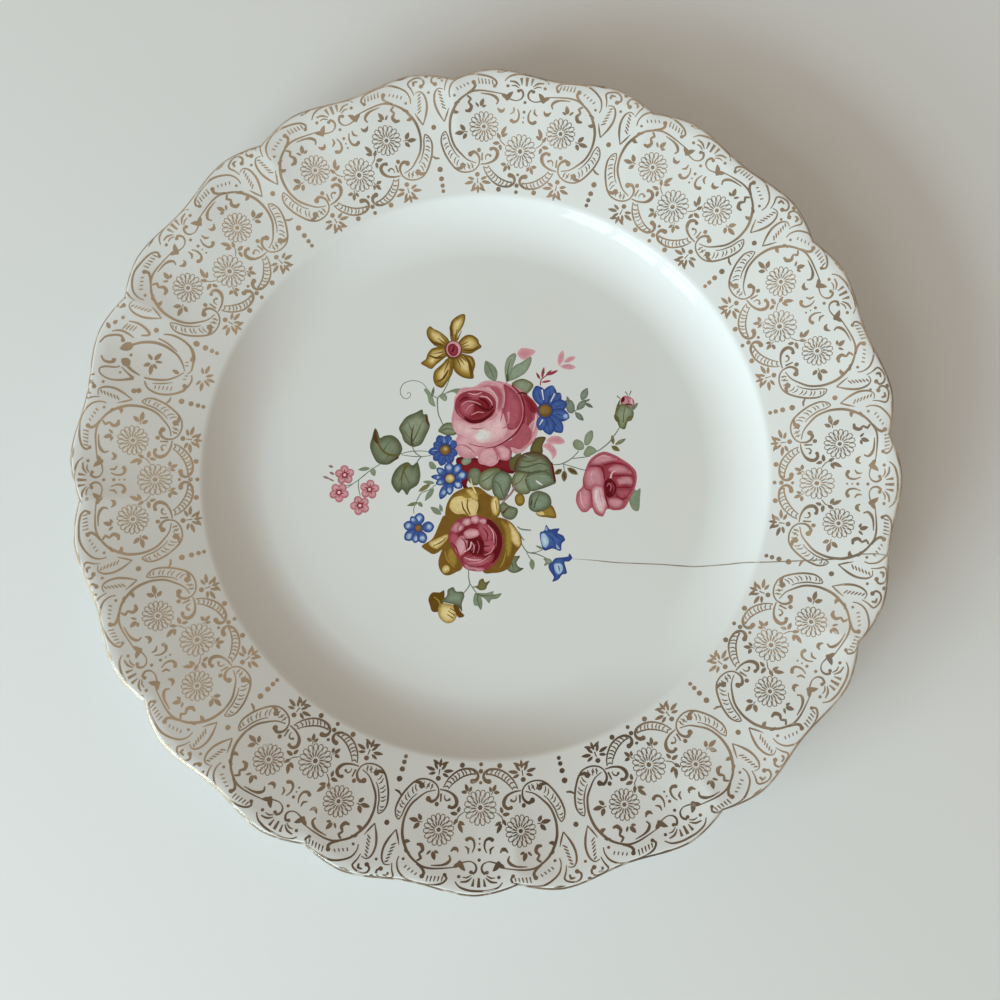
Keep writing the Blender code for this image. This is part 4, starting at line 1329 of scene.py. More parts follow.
def drawLargeRose(spray):
    spray.fields(
        ([(7.5, 28.7), (11, 27.5), (14.5, 25), (17.5, 21.6), (18.9, 18), (18.3, 14), (17.1, 10.4),
         (15, 7.8), (12, 6.4), (9, 7), (9.5, 14), (8, 20), (7, 25)], "pink", "ruby"),
        ([(14, 25), (17.6, 21.4), (18.4, 18.6), (16, 18), (14.6, 21.4)], "ruby", "crimson"),
        ([(15, 14), (17.6, 16), (18.4, 13.6), (17, 10.6), (15.2, 8.8), (13.6, 9.6)], "blush", "pink"),
        ([(4.6, 8.2), (9.5, 10.4), (12.8, 14.8), (15.6, 12.6), (15, 9.2), (11, 6.6), (7, 6)],
         "rose", "rose"),
        ([(-8.6, 22), (-9.7, 17), (-8.2, 12.5), (-9.6, 9), (-7.6, 5.9), (-3.5, 5.1), (0, 7.4), (4.5, 8.2),
         (9.5, 10.7), (13, 15.4), (13.7, 20.5), (12, 25), (8.3, 28.6), (5, 29.5), (1.5, 29.6), (-2, 27.9),
         (-5.5, 28), (-8, 25.2)], "pink", "pink"),
        ([(8.1, 28.2), (11.2, 25.8), (13.2, 22), (13.2, 17.5), (11.2, 13.8), (8.4, 13.4), (6.3, 16.6),
         (7.1, 21), (8.2, 25)], "ruby", "rose"),
        ([(-9.2, 10.2), (-7.6, 12.9), (-4, 13.3), (0.4, 11.4), (3.8, 9.6), (0.2, 7.8), (-2.6, 5.5),
         (-6.5, 5.6), (-9, 7.5)], "pink", "blush"),
        ([(-8.9, 14.2), (-8.8, 17.6), (-6.6, 17.4), (-3, 15.8), (1, 16.4), (4.6, 17.6), (6.6, 19.6),
         (7.6, 16.4), (7.8, 12.6), (4.6, 10), (0, 9.6), (-4.8, 11.6)], "blush", "shell"),
        ([(-8, 24.8), (-5.6, 27.9), (-1.8, 28.1), (1.4, 29.5), (5, 29.3), (7.6, 27.6), (4, 26.6), (0, 26.9),
         (-4, 26.7), (-7, 25.4)], "blush", "pink"),
        ([(3.4, 28.2), (6.6, 28), (8.1, 24.8), (7.4, 20.8), (5.4, 18.6), (4.8, 21), (5.2, 23.5), (3.4, 26)],
         "blush", "rose"),
        ([(-8.3, 22.3), (-7, 25.5), (-4, 26.9), (0, 26.8), (3.2, 25.5), (5, 22.8), (4.7, 20), (3.4, 18.1),
         (1.5, 17.3), (-1, 16.2), (-3.5, 16.3), (-6, 17.9), (-7.8, 20)], "ruby", "crimson"),
        ([(-2.2, 4.7), (-1.6, 6.5), (0.5, 8.1), (3, 8), (4.4, 6.2), (4.6, 4.2), (3.8, 2.7), (1.8, 1.9),
         (0, 2.5), (-1.7, 3.1)], "pink", "blush"),
        ([(3, 8), (5.4, 8.6), (8, 7.8), (8.9, 5.6), (7.4, 3.4), (4.8, 4), (4.4, 6.2)], "rose", "blush"),
        ([(8.6, 7.6), (11.4, 6.6), (14, 7), (12, 5.6), (9.6, 5.4)], "blush", "pink"),
        ([(-6.9, 21), (-5.8, 23.4), (-3.4, 23.8), (-2, 22), (-2.8, 19.4), (-4.8, 18.6)], "ruby", "rose"),
        ([(-4.2, 24.6), (-2.4, 26), (0.6, 25.8), (1.4, 24.4), (-0.8, 23.8)], "ruby", "rose"),
    )
    spray.blot((0.1, 12), (2.9, 2.3), "shell", "white")
    spray.blot((0, 12.2), (1.9, 1.4), "white", "white")
    spray.lines(
        ([(10.6, 27.6), (13.4, 24), (13.9, 19), (12.6, 14.6), (9.4, 11), (4.4, 8.4), (0.4, 7.9)],
         (0.35, 0.5, 0.5, 0.6, 0.6, 0.4, 0.2), "crimson"),
        ([(12.2, 24.7), (13.8, 24.9), (15.4, 24.2)], (0.3, 0.6, 0.2), "wine"),
        ([(-5.8, 18.7), (-3.4, 17), (-0.4, 16.9), (2.4, 18.2), (4.2, 20.2)],
         (0.5, 1.1, 1.2, 1, 0.4), "wine"),
        ([(-1.4, 22.6), (0.4, 21), (2.6, 20.2), (4.2, 21.4)], (0.4, 0.9, 0.9, 0.4), "wine"),
        ([(-0.6, 24.4), (1.4, 23.4), (2.5, 21.8), (2.2, 20.6)], (0.3, 0.8, 0.8, 0.3), "wine"),
        ([(-6.6, 23.8), (-4.8, 24.8), (-2.4, 24.6)], (0.3, 0.5, 0.2), "wine"),
        ([(-6.2, 22.4), (-4, 23.6), (-1.4, 23), (0.2, 22)], (0.2, 0.4, 0.4, 0.2), "pink"),
        ([(-4.9, 20.4), (-3.4, 22), (-2, 22.4)], (0.2, 0.4, 0.2), "pink"),
        ([(-3.2, 19), (-1, 19.8), (1, 19.4)], (0.2, 0.4, 0.2), "pink"),
        ([(-7.4, 21.4), (-6.9, 19.6), (-5.4, 18.2)], (0.2, 0.5, 0.2), "rose"),
        ([(-3.6, 26.2), (-1.2, 25.6), (0.8, 26.2)], (0.2, 0.4, 0.2), "blush"),
        ([(0.2, 24.9), (2.2, 24.4), (3.6, 22.8), (3.8, 21.6)], (0.2, 0.4, 0.4, 0.2), "blush"),
        ([(2.3, 27.6), (4.4, 26), (5.5, 23.6), (5.2, 20.8)], (0.2, 0.4, 0.4, 0.2), "shell"),
        ([(1.4, 28), (4, 27.8), (6.2, 25.4), (6.6, 22.4)], (0.2, 0.3, 0.3, 0.2), "rose"),
        ([(6.3, 13.8), (8.6, 14.4), (10.6, 13.6)], (0.2, 0.4, 0.2), "rose"),
        ([(-3.6, 14.8), (-1.6, 14.3), (0.4, 14.6)], (0.2, 0.35, 0.2), "rose"),
        ([(7, 20.4), (6.6, 17.8), (5.8, 16)], (0.7, 0.4, 0.1), "rose"),
        ([(8.8, 19), (8.6, 16), (7.4, 14.8)], (0.8, 0.5, 0.1), "pink"),
        ([(-8.8, 9.4), (-6.8, 9.6), (-4.6, 8.4), (-3, 6.6)], (0.2, 0.3, 0.4, 0.2), "rose"),
        ([(-4.6, 9.8), (-2, 8.8), (0.6, 8.3)], (0.2, 0.35, 0.2), "rose"),
        ([(3, 7.6), (4.1, 5.8), (3.9, 3.8)], (0.2, 0.45, 0.2), "rose"),
        ([(6.8, 8.2), (8.4, 6.6), (8, 4.4)], (0.4, 0.6, 0.3), "rose"),
        ([(10, 9.6), (13.4, 13.2), (14.6, 17)], (0.4, 0.7, 0.3), "rose"),
        ([(16.2, 12), (17.2, 15), (17.6, 17.6)], (0.3, 0.7, 0.3), "shell"),
    )


def drawBlueFlower(spray, centre, petals, eye, light):
    # petals are tips and widths; a light one is paler inside
    for tip, width in petals:
        spray.petal(towards(centre, tip, 0.12), tip, width, "navy", "blue", 0.8)
        if light:
            start, end = towards(centre, tip, 0.42), towards(centre, tip, 0.9)
            spray.petal(start, end, width * 0.62, "blue", light, 0.8)
        else:
            spray.line([towards(centre, tip, 0.45), towards(centre, tip, 0.85)], (0.35, 0.15), "navy")
    spray.blot(centre, (eye * 1.22, eye * 1.22), "navy", "navy")
    spray.blot(centre, (eye, eye), "honey", "gilt")
    spray.blot((centre[0] + eye * 0.1, centre[1] + eye * 0.25), (eye * 0.55, eye * 0.45), "gilt", "sand")


def drawBlueFlowers(spray):
    drawBlueFlower(spray, (20.6, 18.5), (
        ((18.4, 26.8), 4.6), ((23.6, 26.5), 4.6), ((26, 23.8), 3.8), ((27.8, 20.4), 4.2),
        ((28.2, 15.6), 4.2), ((25.4, 10.9), 4.2), ((21.6, 10.5), 4.4), ((18.4, 12.2), 3.6),
    ), 2.1, None)
    for base, tip, width in (((22.4, 24.8), (24.2, 26.2), 1.3), ((25.3, 22.6), (26, 23.6), 1.1),
                             ((25.8, 16.4), (28, 15.8), 2)):
        spray.petal(base, tip, width, "blue", "ice", 0.8)
    for points in ([(20.2, 25.4), (20.4, 22)], [(24.2, 23.8), (22.6, 21.2)], [(19.6, 15.6), (18.4, 14)]):
        spray.line(points, (0.5, 0.25), "white")
    spray.blot((20.6, 18.6), (2.2, 1.9), "honey", "gilt")
    drawBlueFlower(spray, (-12.4, 8.4), (
        ((-14.3, 13.3), 3.2), ((-10.9, 13.2), 3), ((-8.6, 10.8), 3), ((-17.9, 8.1), 2.8), ((-16, 11), 2.8),
        ((-16.4, 5.4), 3), ((-14.2, 3.4), 3), ((-10.6, 4), 3.2), ((-8.6, 6.6), 2.8),
    ), 1.7, None)
    for points in ([(-12.6, 12.4), (-12.5, 10.8)], [(-16.6, 8.4), (-15, 8.5)], [(-10, 11.6), (-11, 10.2)]):
        spray.line(points, (0.15, 0.4), "sky")
    drawBlueFlower(spray, (-11.6, -0.9), (
        ((-15.6, 2.8), 2.4), ((-17.6, 0.2), 1.8), ((-16.2, -2.2), 2.4), ((-15.2, -7.3), 2.6),
        ((-12.2, -6.2), 2.6), ((-8, -4.2), 2.8), ((-6, 0.2), 3.6), ((-7.8, 3.4), 3.2), ((-11.6, 4.4), 3.2),
    ), 1.6, "ice")
    spray.blot((-11.6, -0.9), (1.5, 1.4), "gilt", "cream")
    drawBlueFlower(spray, (-22.8, -15.9), (
        ((-22, -11.1), 3.4), ((-24.9, -12), 2.4), ((-27.5, -14.4), 3.2), ((-27.4, -19.3), 3.4),
        ((-24.4, -20.6), 2.8), ((-21.3, -20.9), 3.2), ((-17.8, -15.8), 3.6),
    ), 1.15, "ice")
    # bluebells
    spray.fields(
        ([(15.6, -20.6), (17, -20), (17.8, -18.2), (18.8, -19.7), (20.4, -19.6), (22, -19.8), (21.2, -21),
         (22.8, -22), (23.4, -23.5), (22.2, -24.6), (21.7, -26.8), (19.2, -25.9), (16.6, -26.3),
         (15.7, -24)], "navy", "blue"),
        ([(15.9, -21.2), (17.2, -21), (18.3, -23.4), (17.2, -25.4), (16, -24.4)], "sky", "ice"),
        ([(20.4, -24.6), (21.6, -26.2), (20.6, -26)], "sky", "ice"),
        ([(17.3, -19.9), (17.8, -18.7), (18.2, -19.9)], "sky", "sky"),
        ([(18.8, -30), (19.8, -29), (22.5, -28.9), (24, -28.7), (24.3, -27.8), (25.2, -29.3), (24, -30.4),
         (22.6, -30.4), (22.9, -32.5), (23, -34.1), (21.5, -34.4), (20.2, -35.8), (18.2, -36.3),
         (18.8, -34.9), (17.6, -32.5), (17.5, -31)], "navy", "blue"),
        ([(19.4, -30.8), (21.6, -31), (21.9, -32.8), (20.5, -34.2), (19.4, -33)], "sky", "ice"),
    )
    for points in ([(17.8, -21.2), (19.4, -22.8), (20.2, -25)], [(19.6, -20.4), (20.6, -22), (22.2, -23.4)],
                   [(18.6, -31.2), (18.9, -33.2), (19.4, -34.8)], [(20.6, -31.4), (20.8, -33.2)]):
        spray.line(points, (0.2, 0.4, 0.2), "navy")


def drawSmallPinks(spray):
    for centre, turn in (((-45.1, 3), 0.3), ((-47.3, -2.5), 0.9), ((-37.5, -2.3), 0.1),
                         ((-40.9, -7.2), 0.6)):
        for k in range(5):
            a = turn + 2 * math.pi * k / 5
            spot = (centre[0] + 1.85 * math.cos(a), centre[1] + 1.85 * math.sin(a))
            spray.blot(spot, (1.32, 1.32), "rose", "blush")
            spray.line([(centre[0] + 0.5 * math.cos(a), centre[1] + 0.5 * math.sin(a)), spot], (0.5, 0.1),
                       "crimson")
        spray.blot(centre, (0.95, 0.95), "crimson", "ruby")
        spray.blot(centre, (0.5, 0.5), "shell", "shell")
    for base, tip, width in (((-48.6, 5.8), (-50.1, 6.4), 0.9), ((-49.9, 4.3), (-48.4, 3.4), 0.9),
                             ((-52.2, 3.1), (-50, 2.2), 0.8),
                             ((-50.6, 2.4), (-48.5, 1.2), 0.6)):
        spray.petal(base, tip, width, "dusk", "dusk", 0.3)
    for points in ([(13.2, 38), (14.5, 39.4), (16.5, 39.4), (19.2, 38.2), (17.5, 36.6), (15, 35.7),
                    (13.8, 36.6)],
                   [(20.1, 8.4), (21.5, 9.9), (24, 10), (25.9, 8.5), (25.6, 7.4), (23, 7.3)],
                   [(18.7, 7.1), (21, 8.1), (22.8, 6), (23, 4), (21.6, 2.6), (21.3, 4.3), (20.3, 5.8)]):
        spray.field(points, "blush", "pink")
    for base, tip, width in (((26.3, 32.6), (28, 37.7), 2), ((27.8, 33.8), (31.9, 35.2), 1.7),
                             ((26.6, 32.6), (31.7, 31.8), 1.9)):
        spray.petal(base, tip, width, "blush", "pink", 0.6)
    for base, tip, width in (((20.5, 29.2), (21.5, 32.8), 1), ((19.9, 28.8), (18.8, 31.2), 0.8),
                             ((22.2, 29.9), (26, 31.3), 1),
                             ((21.8, 29.9), (23.9, 31.6), 0.8), ((20.2, 27.8), (23.5, 28.1), 0.8)):
        spray.petal(base, tip, width, "ruby", "rose", 0.3)
    spray.line([(19.8, 26.8), (20.2, 28.6), (21.8, 29.8), (24, 30.6)], (0.35, 0.4, 0.2), "ruby")


def drawBud(spray):
    spray.field([(45, 19), (46, 21.1), (48, 20.9), (49.4, 19.5), (49.1, 17.8), (47, 17.4), (45.4, 18)],
                "rose", "pink")
    spray.line([(47, 20.9), (47.6, 19.4), (47.4, 17.8)], (0.3, 0.6, 0.3), "dusk")
    spray.line([(48.8, 20.2), (48.6, 19), (48.9, 18)], (0.2, 0.5, 0.2), "shell")
    spray.line([(45.6, 18), (47.2, 18.4), (48.8, 18)], (0.3, 0.6, 0.3), "brown")
    spray.petal((45.2, 19), (46.4, 20.9), 1.2, "wine", "crimson", 0.5)
    spray.field([(42.7, 14.6), (43.4, 17), (45, 18.6), (47.5, 17.8), (48.9, 16), (48.5, 13.8), (46.8, 12.8),
                 (45.6, 10.4),
                 (43.9, 11.2), (43.4, 12.8)], "moss", "sage")
    for base, tip, width, edge, heart in (((43, 15.6), (45, 20.2), 0.8, "moss", "green"),
            ((47.6, 16), (50.7, 18.6), 1.4, "green", "grey"),
                                          ((44, 12.6), (42.6, 15.4), 1.3, "moss", "fern"),
                                          ((46.6, 13), (48.4, 14.4), 1.6, "moss", "olive")):
        spray.petal(base, tip, width, edge, heart, 0.3)
    for points in ([(46.9, 22.6), (47.6, 21.2)], [(44.1, 21.4), (45.2, 20.2)], [(48.8, 22.7), (48, 21.2)],
                   [(45.2, 12.6), (45.8, 15.6), (46.4, 17.4)]):
        spray.line(points, (0.35, 0.2), "fern")


def drawRightRose(spray):
    spray.fields(
        ([(46, -8), (47.4, -9.6), (48.8, -9), (48.4, -12), (47.6, -16), (45.6, -15.4), (44.8, -12)],
         "green", "mint"),
        ([(32.8, 0.4), (35, 2.6), (38.2, 3.7), (41.5, 2.4), (43.8, 0.8), (46.4, -1.4), (48, -4), (47.4, -8),
         (45.2, -12), (43, -15), (40, -15.4), (37.6, -14.8), (36, -17), (33.8, -16), (32.8, -14),
         (31.2, -15.1), (29.4, -14.9), (28, -12), (28.5, -8.8), (30.4, -6.8), (30.8, -4.2)],
         "rose", "ruby"),
        ([(28.3, -12), (28.9, -9), (30.8, -7.2), (32.6, -8.2), (32.7, -11), (32, -14), (30.4, -14.9),
         (29.2, -14.3)], "rose", "pink"),
        ([(31, -5), (31.6, -2.6), (33.2, -1.2), (35.8, -1), (37.2, -3), (37.4, -6), (36.4, -8), (34.4, -7),
         (33, -8.2), (31.6, -7.2)], "rose", "pink"),
        ([(33, -9), (34, -7), (36.6, -7.4), (37.3, -10), (37.9, -13), (36.3, -16.3), (34.2, -15.3),
         (33, -12.4)], "rose", "shell"),
        ([(33.2, 0), (35, 1.9), (38.2, 3.1), (41, 2.1), (43, 0.6), (39.6, 0.2), (36.4, -0.4)],
         "ruby", "pink"),
        ([(37.6, -1), (41, 0.2), (44.8, -0.8), (47.2, -4), (46.8, -8), (44.6, -11.2), (41.5, -12.2),
         (39.2, -9.6), (37.8, -5)], "ruby", "ruby"),
        ([(39, -2.4), (41.2, -0.8), (44.4, -1.6), (46.6, -4), (44, -3.8), (41.4, -3.6)], "rose", "pink"),
        ([(41.4, -5.4), (44, -4.6), (46.6, -5.4), (46.2, -8), (43.8, -7.4), (42, -7.6)], "ruby", "pink"),
        ([(41.2, -9), (43.4, -8.6), (45.6, -9.4), (43.8, -11.6), (41.6, -11.4)], "ruby", "rose"),
        ([(38, -11.6), (40.4, -11.2), (43.2, -12.4), (42.4, -14.6), (40, -15), (38.2, -13.6)],
         "ruby", "pink"),
        ([(37.9, -5.6), (39.6, -5.2), (41.2, -7.4), (40.6, -10), (38.6, -11.2), (37.2, -9.4), (37.4, -7)],
         "wine", "wine"),
    )
    spray.lines(
        ([(38.2, -7.6), (38.9, -6.6), (39.6, -7.6), (39, -9.2)], (0.3, 0.5, 0.5, 0.2), "rose"),
        ([(39.8, -6.4), (40.4, -8), (39.8, -10)], (0.2, 0.4, 0.2), "ruby"),
        ([(38.4, -5), (40.6, -4.4), (44, -4.6), (46.8, -5)], (0.3, 0.5, 0.4, 0.2), "crimson"),
        ([(41.2, -8.2), (43.6, -8.2), (46, -8.6)], (0.4, 0.5, 0.2), "crimson"),
        ([(37.6, -0.8), (41, -0.2), (44, -0.9)], (0.4, 0.5, 0.2), "crimson"),
        ([(32.8, -0.6), (35.6, -0.8), (37.4, -1.6), (37.6, -5.4)], (0.2, 0.4, 0.5, 0.3), "crimson"),
        ([(30.8, -5.4), (31.4, -7.8), (32.9, -8.8), (33, -13.6)], (0.2, 0.4, 0.4, 0.2), "ruby"),
        ([(37.5, -7.4), (37.4, -10.4), (38.2, -14.4)], (0.3, 0.6, 0.3), "crimson"),
        ([(40.8, -10.6), (42.6, -12), (44.4, -11.6)], (0.3, 0.5, 0.2), "crimson"),
        ([(34.6, -8.6), (34.4, -11.4), (35.2, -15)], (0.3, 0.4, 0.2), "white"),
        ([(35.6, -8), (35.9, -11), (36.4, -14)], (0.2, 0.3, 0.1), "pink"),
        ([(29.6, -8.6), (29.6, -11.4), (30.4, -13.8)], (0.2, 0.3, 0.1), "shell"),
        ([(34, -2.2), (33.4, -4.6), (34.2, -6.2)], (0.3, 0.4, 0.1), "blush"),
        ([(39.6, -5), (40.2, -3.4), (41.6, -2.6)], (0.7, 0.5, 0.2), "shell"),
        ([(35, 1.2), (37.6, 2.4), (40.4, 1.6)], (0.2, 0.4, 0.2), "blush"),
    )


def drawLowerFlowers(spray):
    # the ochre flower and the rose that lies over it
    spray.fields(
        ([(-14.2, -12.6), (-16, -15), (-18.5, -19.5), (-21.5, -21.2), (-22.2, -22), (-20.5, -23.5),
         (-18.5, -24.6), (-15.6, -23.2), (-12, -20.5), (-11, -15)], "umber", "umber"),
        ([(-20, -21), (-17, -19.6), (-13.8, -18.6), (-13.9, -20.2), (-16.2, -22.4), (-18, -23)],
         "ochre", "cream"),
        ([(-14, -20.8), (-16.8, -25.5), (-17.3, -28.5), (-16.2, -31), (-14.4, -31.7), (-12, -30.9),
         (-10, -29.8), (-9, -26), (-11, -22)], "umber", "umber"),
        ([(-16.4, -29.6), (-15.4, -28.3), (-14, -28.8), (-13.9, -30.2), (-15, -30.9), (-16, -30.7)],
         "ochre", "cream"),
        ([(-13.2, -22.8), (-14.6, -25), (-14.2, -27.6), (-12.2, -29.4), (-11, -27), (-11.8, -24)],
         "umber", "ochre"),
        ([(-1, -14.3), (3, -14.6), (6.4, -16.2), (8.7, -19.5), (9.6, -23.4), (7, -27), (5.4, -30.4),
         (3, -31.8), (0, -32.1), (-3.6, -31), (-3, -22)], "umber", "umber"),
        ([(3.2, -15.4), (6, -17), (6.8, -20.6), (6.6, -24.6), (4.6, -28.6), (4.2, -24), (4.4, -19.6)],
         "umber", "ochre"),
        ([(5.6, -15.8), (8.6, -19.6), (9.3, -23.2), (8.2, -24.6), (6.4, -22.4), (6.2, -19)],
         "ochre", "cream"),
        ([(-14, -12.6), (-13.2, -9), (-11, -6), (-8, -4.6), (-5, -4.2), (-2.5, -4.6), (0, -6.8),
         (1.6, -7.8), (3.2, -8.3), (3.6, -11), (3.1, -14), (0, -15.4), (-5, -15.6), (-10, -15.2),
         (-13, -14.4)], "umber", "ochre"),
        ([(-13.4, -13), (-12.8, -10.4), (-11.2, -11.8), (-8.4, -12.6), (-6, -14.2), (-9.6, -14.8),
         (-12.6, -14.2)], "umber", "umber"),
        ([(-3, -7.2), (-0.6, -6.6), (0.8, -8.6), (0.9, -12.6), (0, -14.6), (-3.4, -14.8), (-3.4, -11.4)],
         "umber", "umber"),
        ([(-12.4, -10.2), (-11.2, -7.4), (-8.6, -6.8), (-6.4, -7.8), (-4.2, -7.2), (-2.9, -9.4),
         (-3.3, -12), (-5.2, -13.8), (-7.4, -12.6), (-10.4, -12.4)], "sand", "cream"),
        ([(0.8, -9.6), (2, -7.8), (3.2, -8.6), (3.3, -12), (2.2, -14), (0.9, -12.6)], "ochre", "cream"),
        ([(-6.8, -5.4), (-5.2, -4.8), (-3.4, -6.4), (-3.1, -8.8), (-4.6, -8.4)], "ochre", "sand"),
        ([(-13.6, -20.5), (-12.6, -17), (-10.2, -14.4), (-7, -13.6), (-4.5, -13.5), (-1, -14.4),
         (1.6, -16.4), (3.5, -20), (3.4, -24), (1.7, -28), (-1.4, -30.6), (-5, -31.2), (-8.6, -30),
         (-10.9, -26.6), (-12.5, -23.4)], "ruby", "crimson"),
        ([(-0.6, -14.9), (1.6, -16.6), (3.3, -20), (3.2, -24), (1.4, -27.6), (-0.6, -28.8), (0.4, -24.4),
         (0.6, -20.2), (-1.4, -17)], "wine", "wine"),
        ([(-10, -26.2), (-6.4, -25.4), (-2.4, -26.8), (0.6, -25.8), (0, -28.2), (-2.6, -30), (-6.6, -30.2),
         (-9.2, -28.6)], "crimson", "rose"),
        ([(-10.2, -28), (-8.6, -30.2), (-5, -31.2), (-2, -30.9), (-4.6, -29.6), (-8, -28.8)],
         "ruby", "pink"),
        ([(-13.4, -20.6), (-12.4, -18.4), (-10.6, -19.2), (-10.4, -21.8), (-12.2, -23)], "ruby", "rose"),
        ([(-12.8, -17.2), (-10.6, -14.9), (-8.6, -16), (-9.4, -18), (-11.4, -18.4)], "ruby", "pink"),
        ([(-11.8, -23.6), (-11.2, -20.8), (-9, -19.4), (-7.4, -21.4), (-8.2, -24.4), (-10.2, -25.8)],
         "rose", "blush"),
        ([(-8.6, -18.6), (-6.6, -17.4), (-4, -18), (-3.6, -19.6), (-5.6, -20.6), (-8, -20.4)],
         "rose", "blush"),
        ([(-4, -16.6), (-1.6, -15.8), (0.4, -18.2), (0.6, -21.2), (-1.2, -23), (-3, -20.8)],
         "ruby", "rose"),
        ([(-2.6, -22), (0.4, -21.4), (1.2, -24), (-0.8, -25.4), (-2.8, -24.2)], "ruby", "rose"),
        ([(-7.6, -22.2), (-5.4, -20.6), (-3.2, -21.6), (-2.6, -24.4), (-4.4, -26.6), (-7, -25)],
         "wine", "wine"),
    )
    for centre, radii, turn in (((-7.3, -15.3), (1.7, 1.4), 0.3), ((-4.6, -14.7), (1.6, 1.4), 0),
                                ((-2.2, -15.4), (1.3, 1.1), -0.4),
                                ((-9.4, -16.9), (1.3, 1), 0.6)):
        spray.blot(centre, radii, "ruby", "blush", turn)
    spray.lines(
        ([(-6.4, -8), (-6.8, -10.4), (-6, -13)], (0.3, 0.5, 0.3), "honey"),
        ([(-8.4, -8.4), (-8, -11), (-6.6, -13.2)], (0.2, 0.5, 0.2), "honey"),
        ([(-4.2, -8.2), (-5, -10.6), (-4.6, -12.8)], (0.2, 0.5, 0.2), "cream"),
        ([(-3.2, -8.4), (-3, -10.6), (-4, -13)], (0.3, 0.5, 0.3), "honey"),
        ([(-5, -1.4), (-4.6, -4), (-3.6, -6.4)], (0.3, 0.5, 0.4), "cream"),
        ([(-10.6, -9.4), (-10, -11.4)], (0.9, 0.4), "cream"),
        ([(2.4, -9.2), (2.6, -12.2)], (0.3, 0.2), "honey"),
        ([(-18.6, -22), (-16, -21), (-14.2, -19.6)], (0.2, 0.4, 0.2), "honey"),
        ([(-15, -24), (-14.4, -26.8), (-12.2, -29.4)], (0.3, 0.5, 0.2), "ochre"),
        ([(5, -17), (6, -20.6), (5.6, -25.6)], (0.3, 0.6, 0.3), "ochre"),
        ([(2, -30.6), (3.4, -28.6), (4.4, -25.4)], (0.3, 0.5, 0.2), "ochre"),
        ([(-9.2, -24.8), (-7, -23.6), (-6.4, -21.6)], (0.2, 0.5, 0.3), "shell"),
        ([(-5.8, -24.8), (-3.6, -23.6), (-0.4, -23.4)], (0.3, 0.6, 0.2), "wine"),
        ([(-6.6, -24.4), (-5, -22.6)], (0.3, 0.2), "rose"),
        ([(-8.6, -26.8), (-5, -26), (-1.6, -27.4)], (0.2, 0.4, 0.2), "crimson"),
        ([(-8, -28.4), (-4, -28.2), (-0.4, -26.4)], (0.2, 0.4, 0.2), "pink"),
        ([(-2.4, -17.4), (-1, -19.6), (-1.6, -22)], (0.2, 0.5, 0.2), "crimson"),
        ([(0.4, -17.6), (1.6, -20.4), (1.4, -23.8)], (0.2, 0.4, 0.2), "rose"),
        ([(-8.4, -16.8), (-6, -16.4), (-3.4, -16.6)], (0.2, 0.4, 0.2), "crimson"),
        ([(-10.4, -19.4), (-9, -18.2), (-7.4, -17.4)], (0.2, 0.5, 0.2), "crimson"),
        ([(-12.8, -21.4), (-11.4, -23), (-10.6, -25.8)], (0.3, 0.5, 0.2), "crimson"),
        ([(-9.6, -20), (-8.4, -21.6), (-8, -24.6)], (0.2, 0.45, 0.2), "crimson"),
        ([(-8.6, -20.6), (-6, -20.9), (-3.4, -20)], (0.2, 0.6, 0.2), "wine"),
        ([(-3.6, -20.4), (-2.6, -22.6), (-3.2, -25.4)], (0.3, 0.6, 0.2), "wine"),
        ([(-4.4, -21.4), (-4, -23.6), (-4.8, -25.6)], (0.2, 0.45, 0.2), "rose"),
        ([(-6.2, -21.8), (-5.6, -23.4), (-6, -25.2)], (0.2, 0.4, 0.2), "pink"),
        ([(-0.6, -16.8), (0.8, -19.4), (0.8, -22.6)], (0.2, 0.4, 0.2), "blush"),
        ([(-2.6, -26.2), (-0.4, -25.4), (0.8, -23.4)], (0.2, 0.4, 0.2), "pink"),
        ([(-9, -26.4), (-6.6, -27.4), (-3.6, -27.6)], (0.2, 0.45, 0.2), "blush"),
        ([(-7.6, -29.4), (-4.6, -29.8), (-1.6, -28.8)], (0.2, 0.4, 0.2), "crimson"),
    )
    # the bud below
    spray.fields(
        ([(-21.3, -38.6), (-20, -36.7), (-17.5, -36.8), (-16.2, -36.2), (-16.2, -38.4), (-17, -41),
         (-18.4, -42.8), (-20.4, -42.6), (-21, -40.6)], "honey", "honey"),
        ([(-18.6, -43.2), (-18, -40.8), (-16, -40.4), (-13, -41.6), (-12.6, -44), (-13.8, -46.2),
         (-16, -46.7), (-18, -45.2)], "ochre", "cream"),
        ([(-13.6, -41.2), (-12.4, -40.4), (-11.6, -43), (-10.4, -44.8), (-12.2, -45.2), (-13.2, -43.2)],
         "honey", "honey"),
        ([(-17.2, -39.6), (-15.4, -38), (-15, -36.2), (-13.2, -35.5), (-12.4, -36.9), (-10.4, -37.2),
         (-9.9, -38.6), (-10.9, -41), (-11, -43.4), (-12.4, -41.4), (-14.6, -40.6)], "fern", "mint"),
    )
    for points in ([(-14.8, -42), (-13, -43.2)], [(-15.4, -42.8), (-13.4, -44.4)],
                   [(-15.8, -43.8), (-14, -45.2)]):
        spray.line(points, (0.2, 0.35), "honey")
    spray.line([(-19.6, -38), (-18, -39.6), (-17.8, -41.6)], (0.3, 0.5, 0.2), "ochre")


print("printing the flowers")
spray = Spray()
for drawPart in (drawNarcissus, drawLeaves, drawLeafCluster, drawLargeRose, drawBlueFlowers, drawSmallPinks,
                 drawBud,
                 drawRightRose, drawLowerFlowers):
    drawPart(spray)
flowerSpray = spray.makePiece("flowerSpray", printFinish())


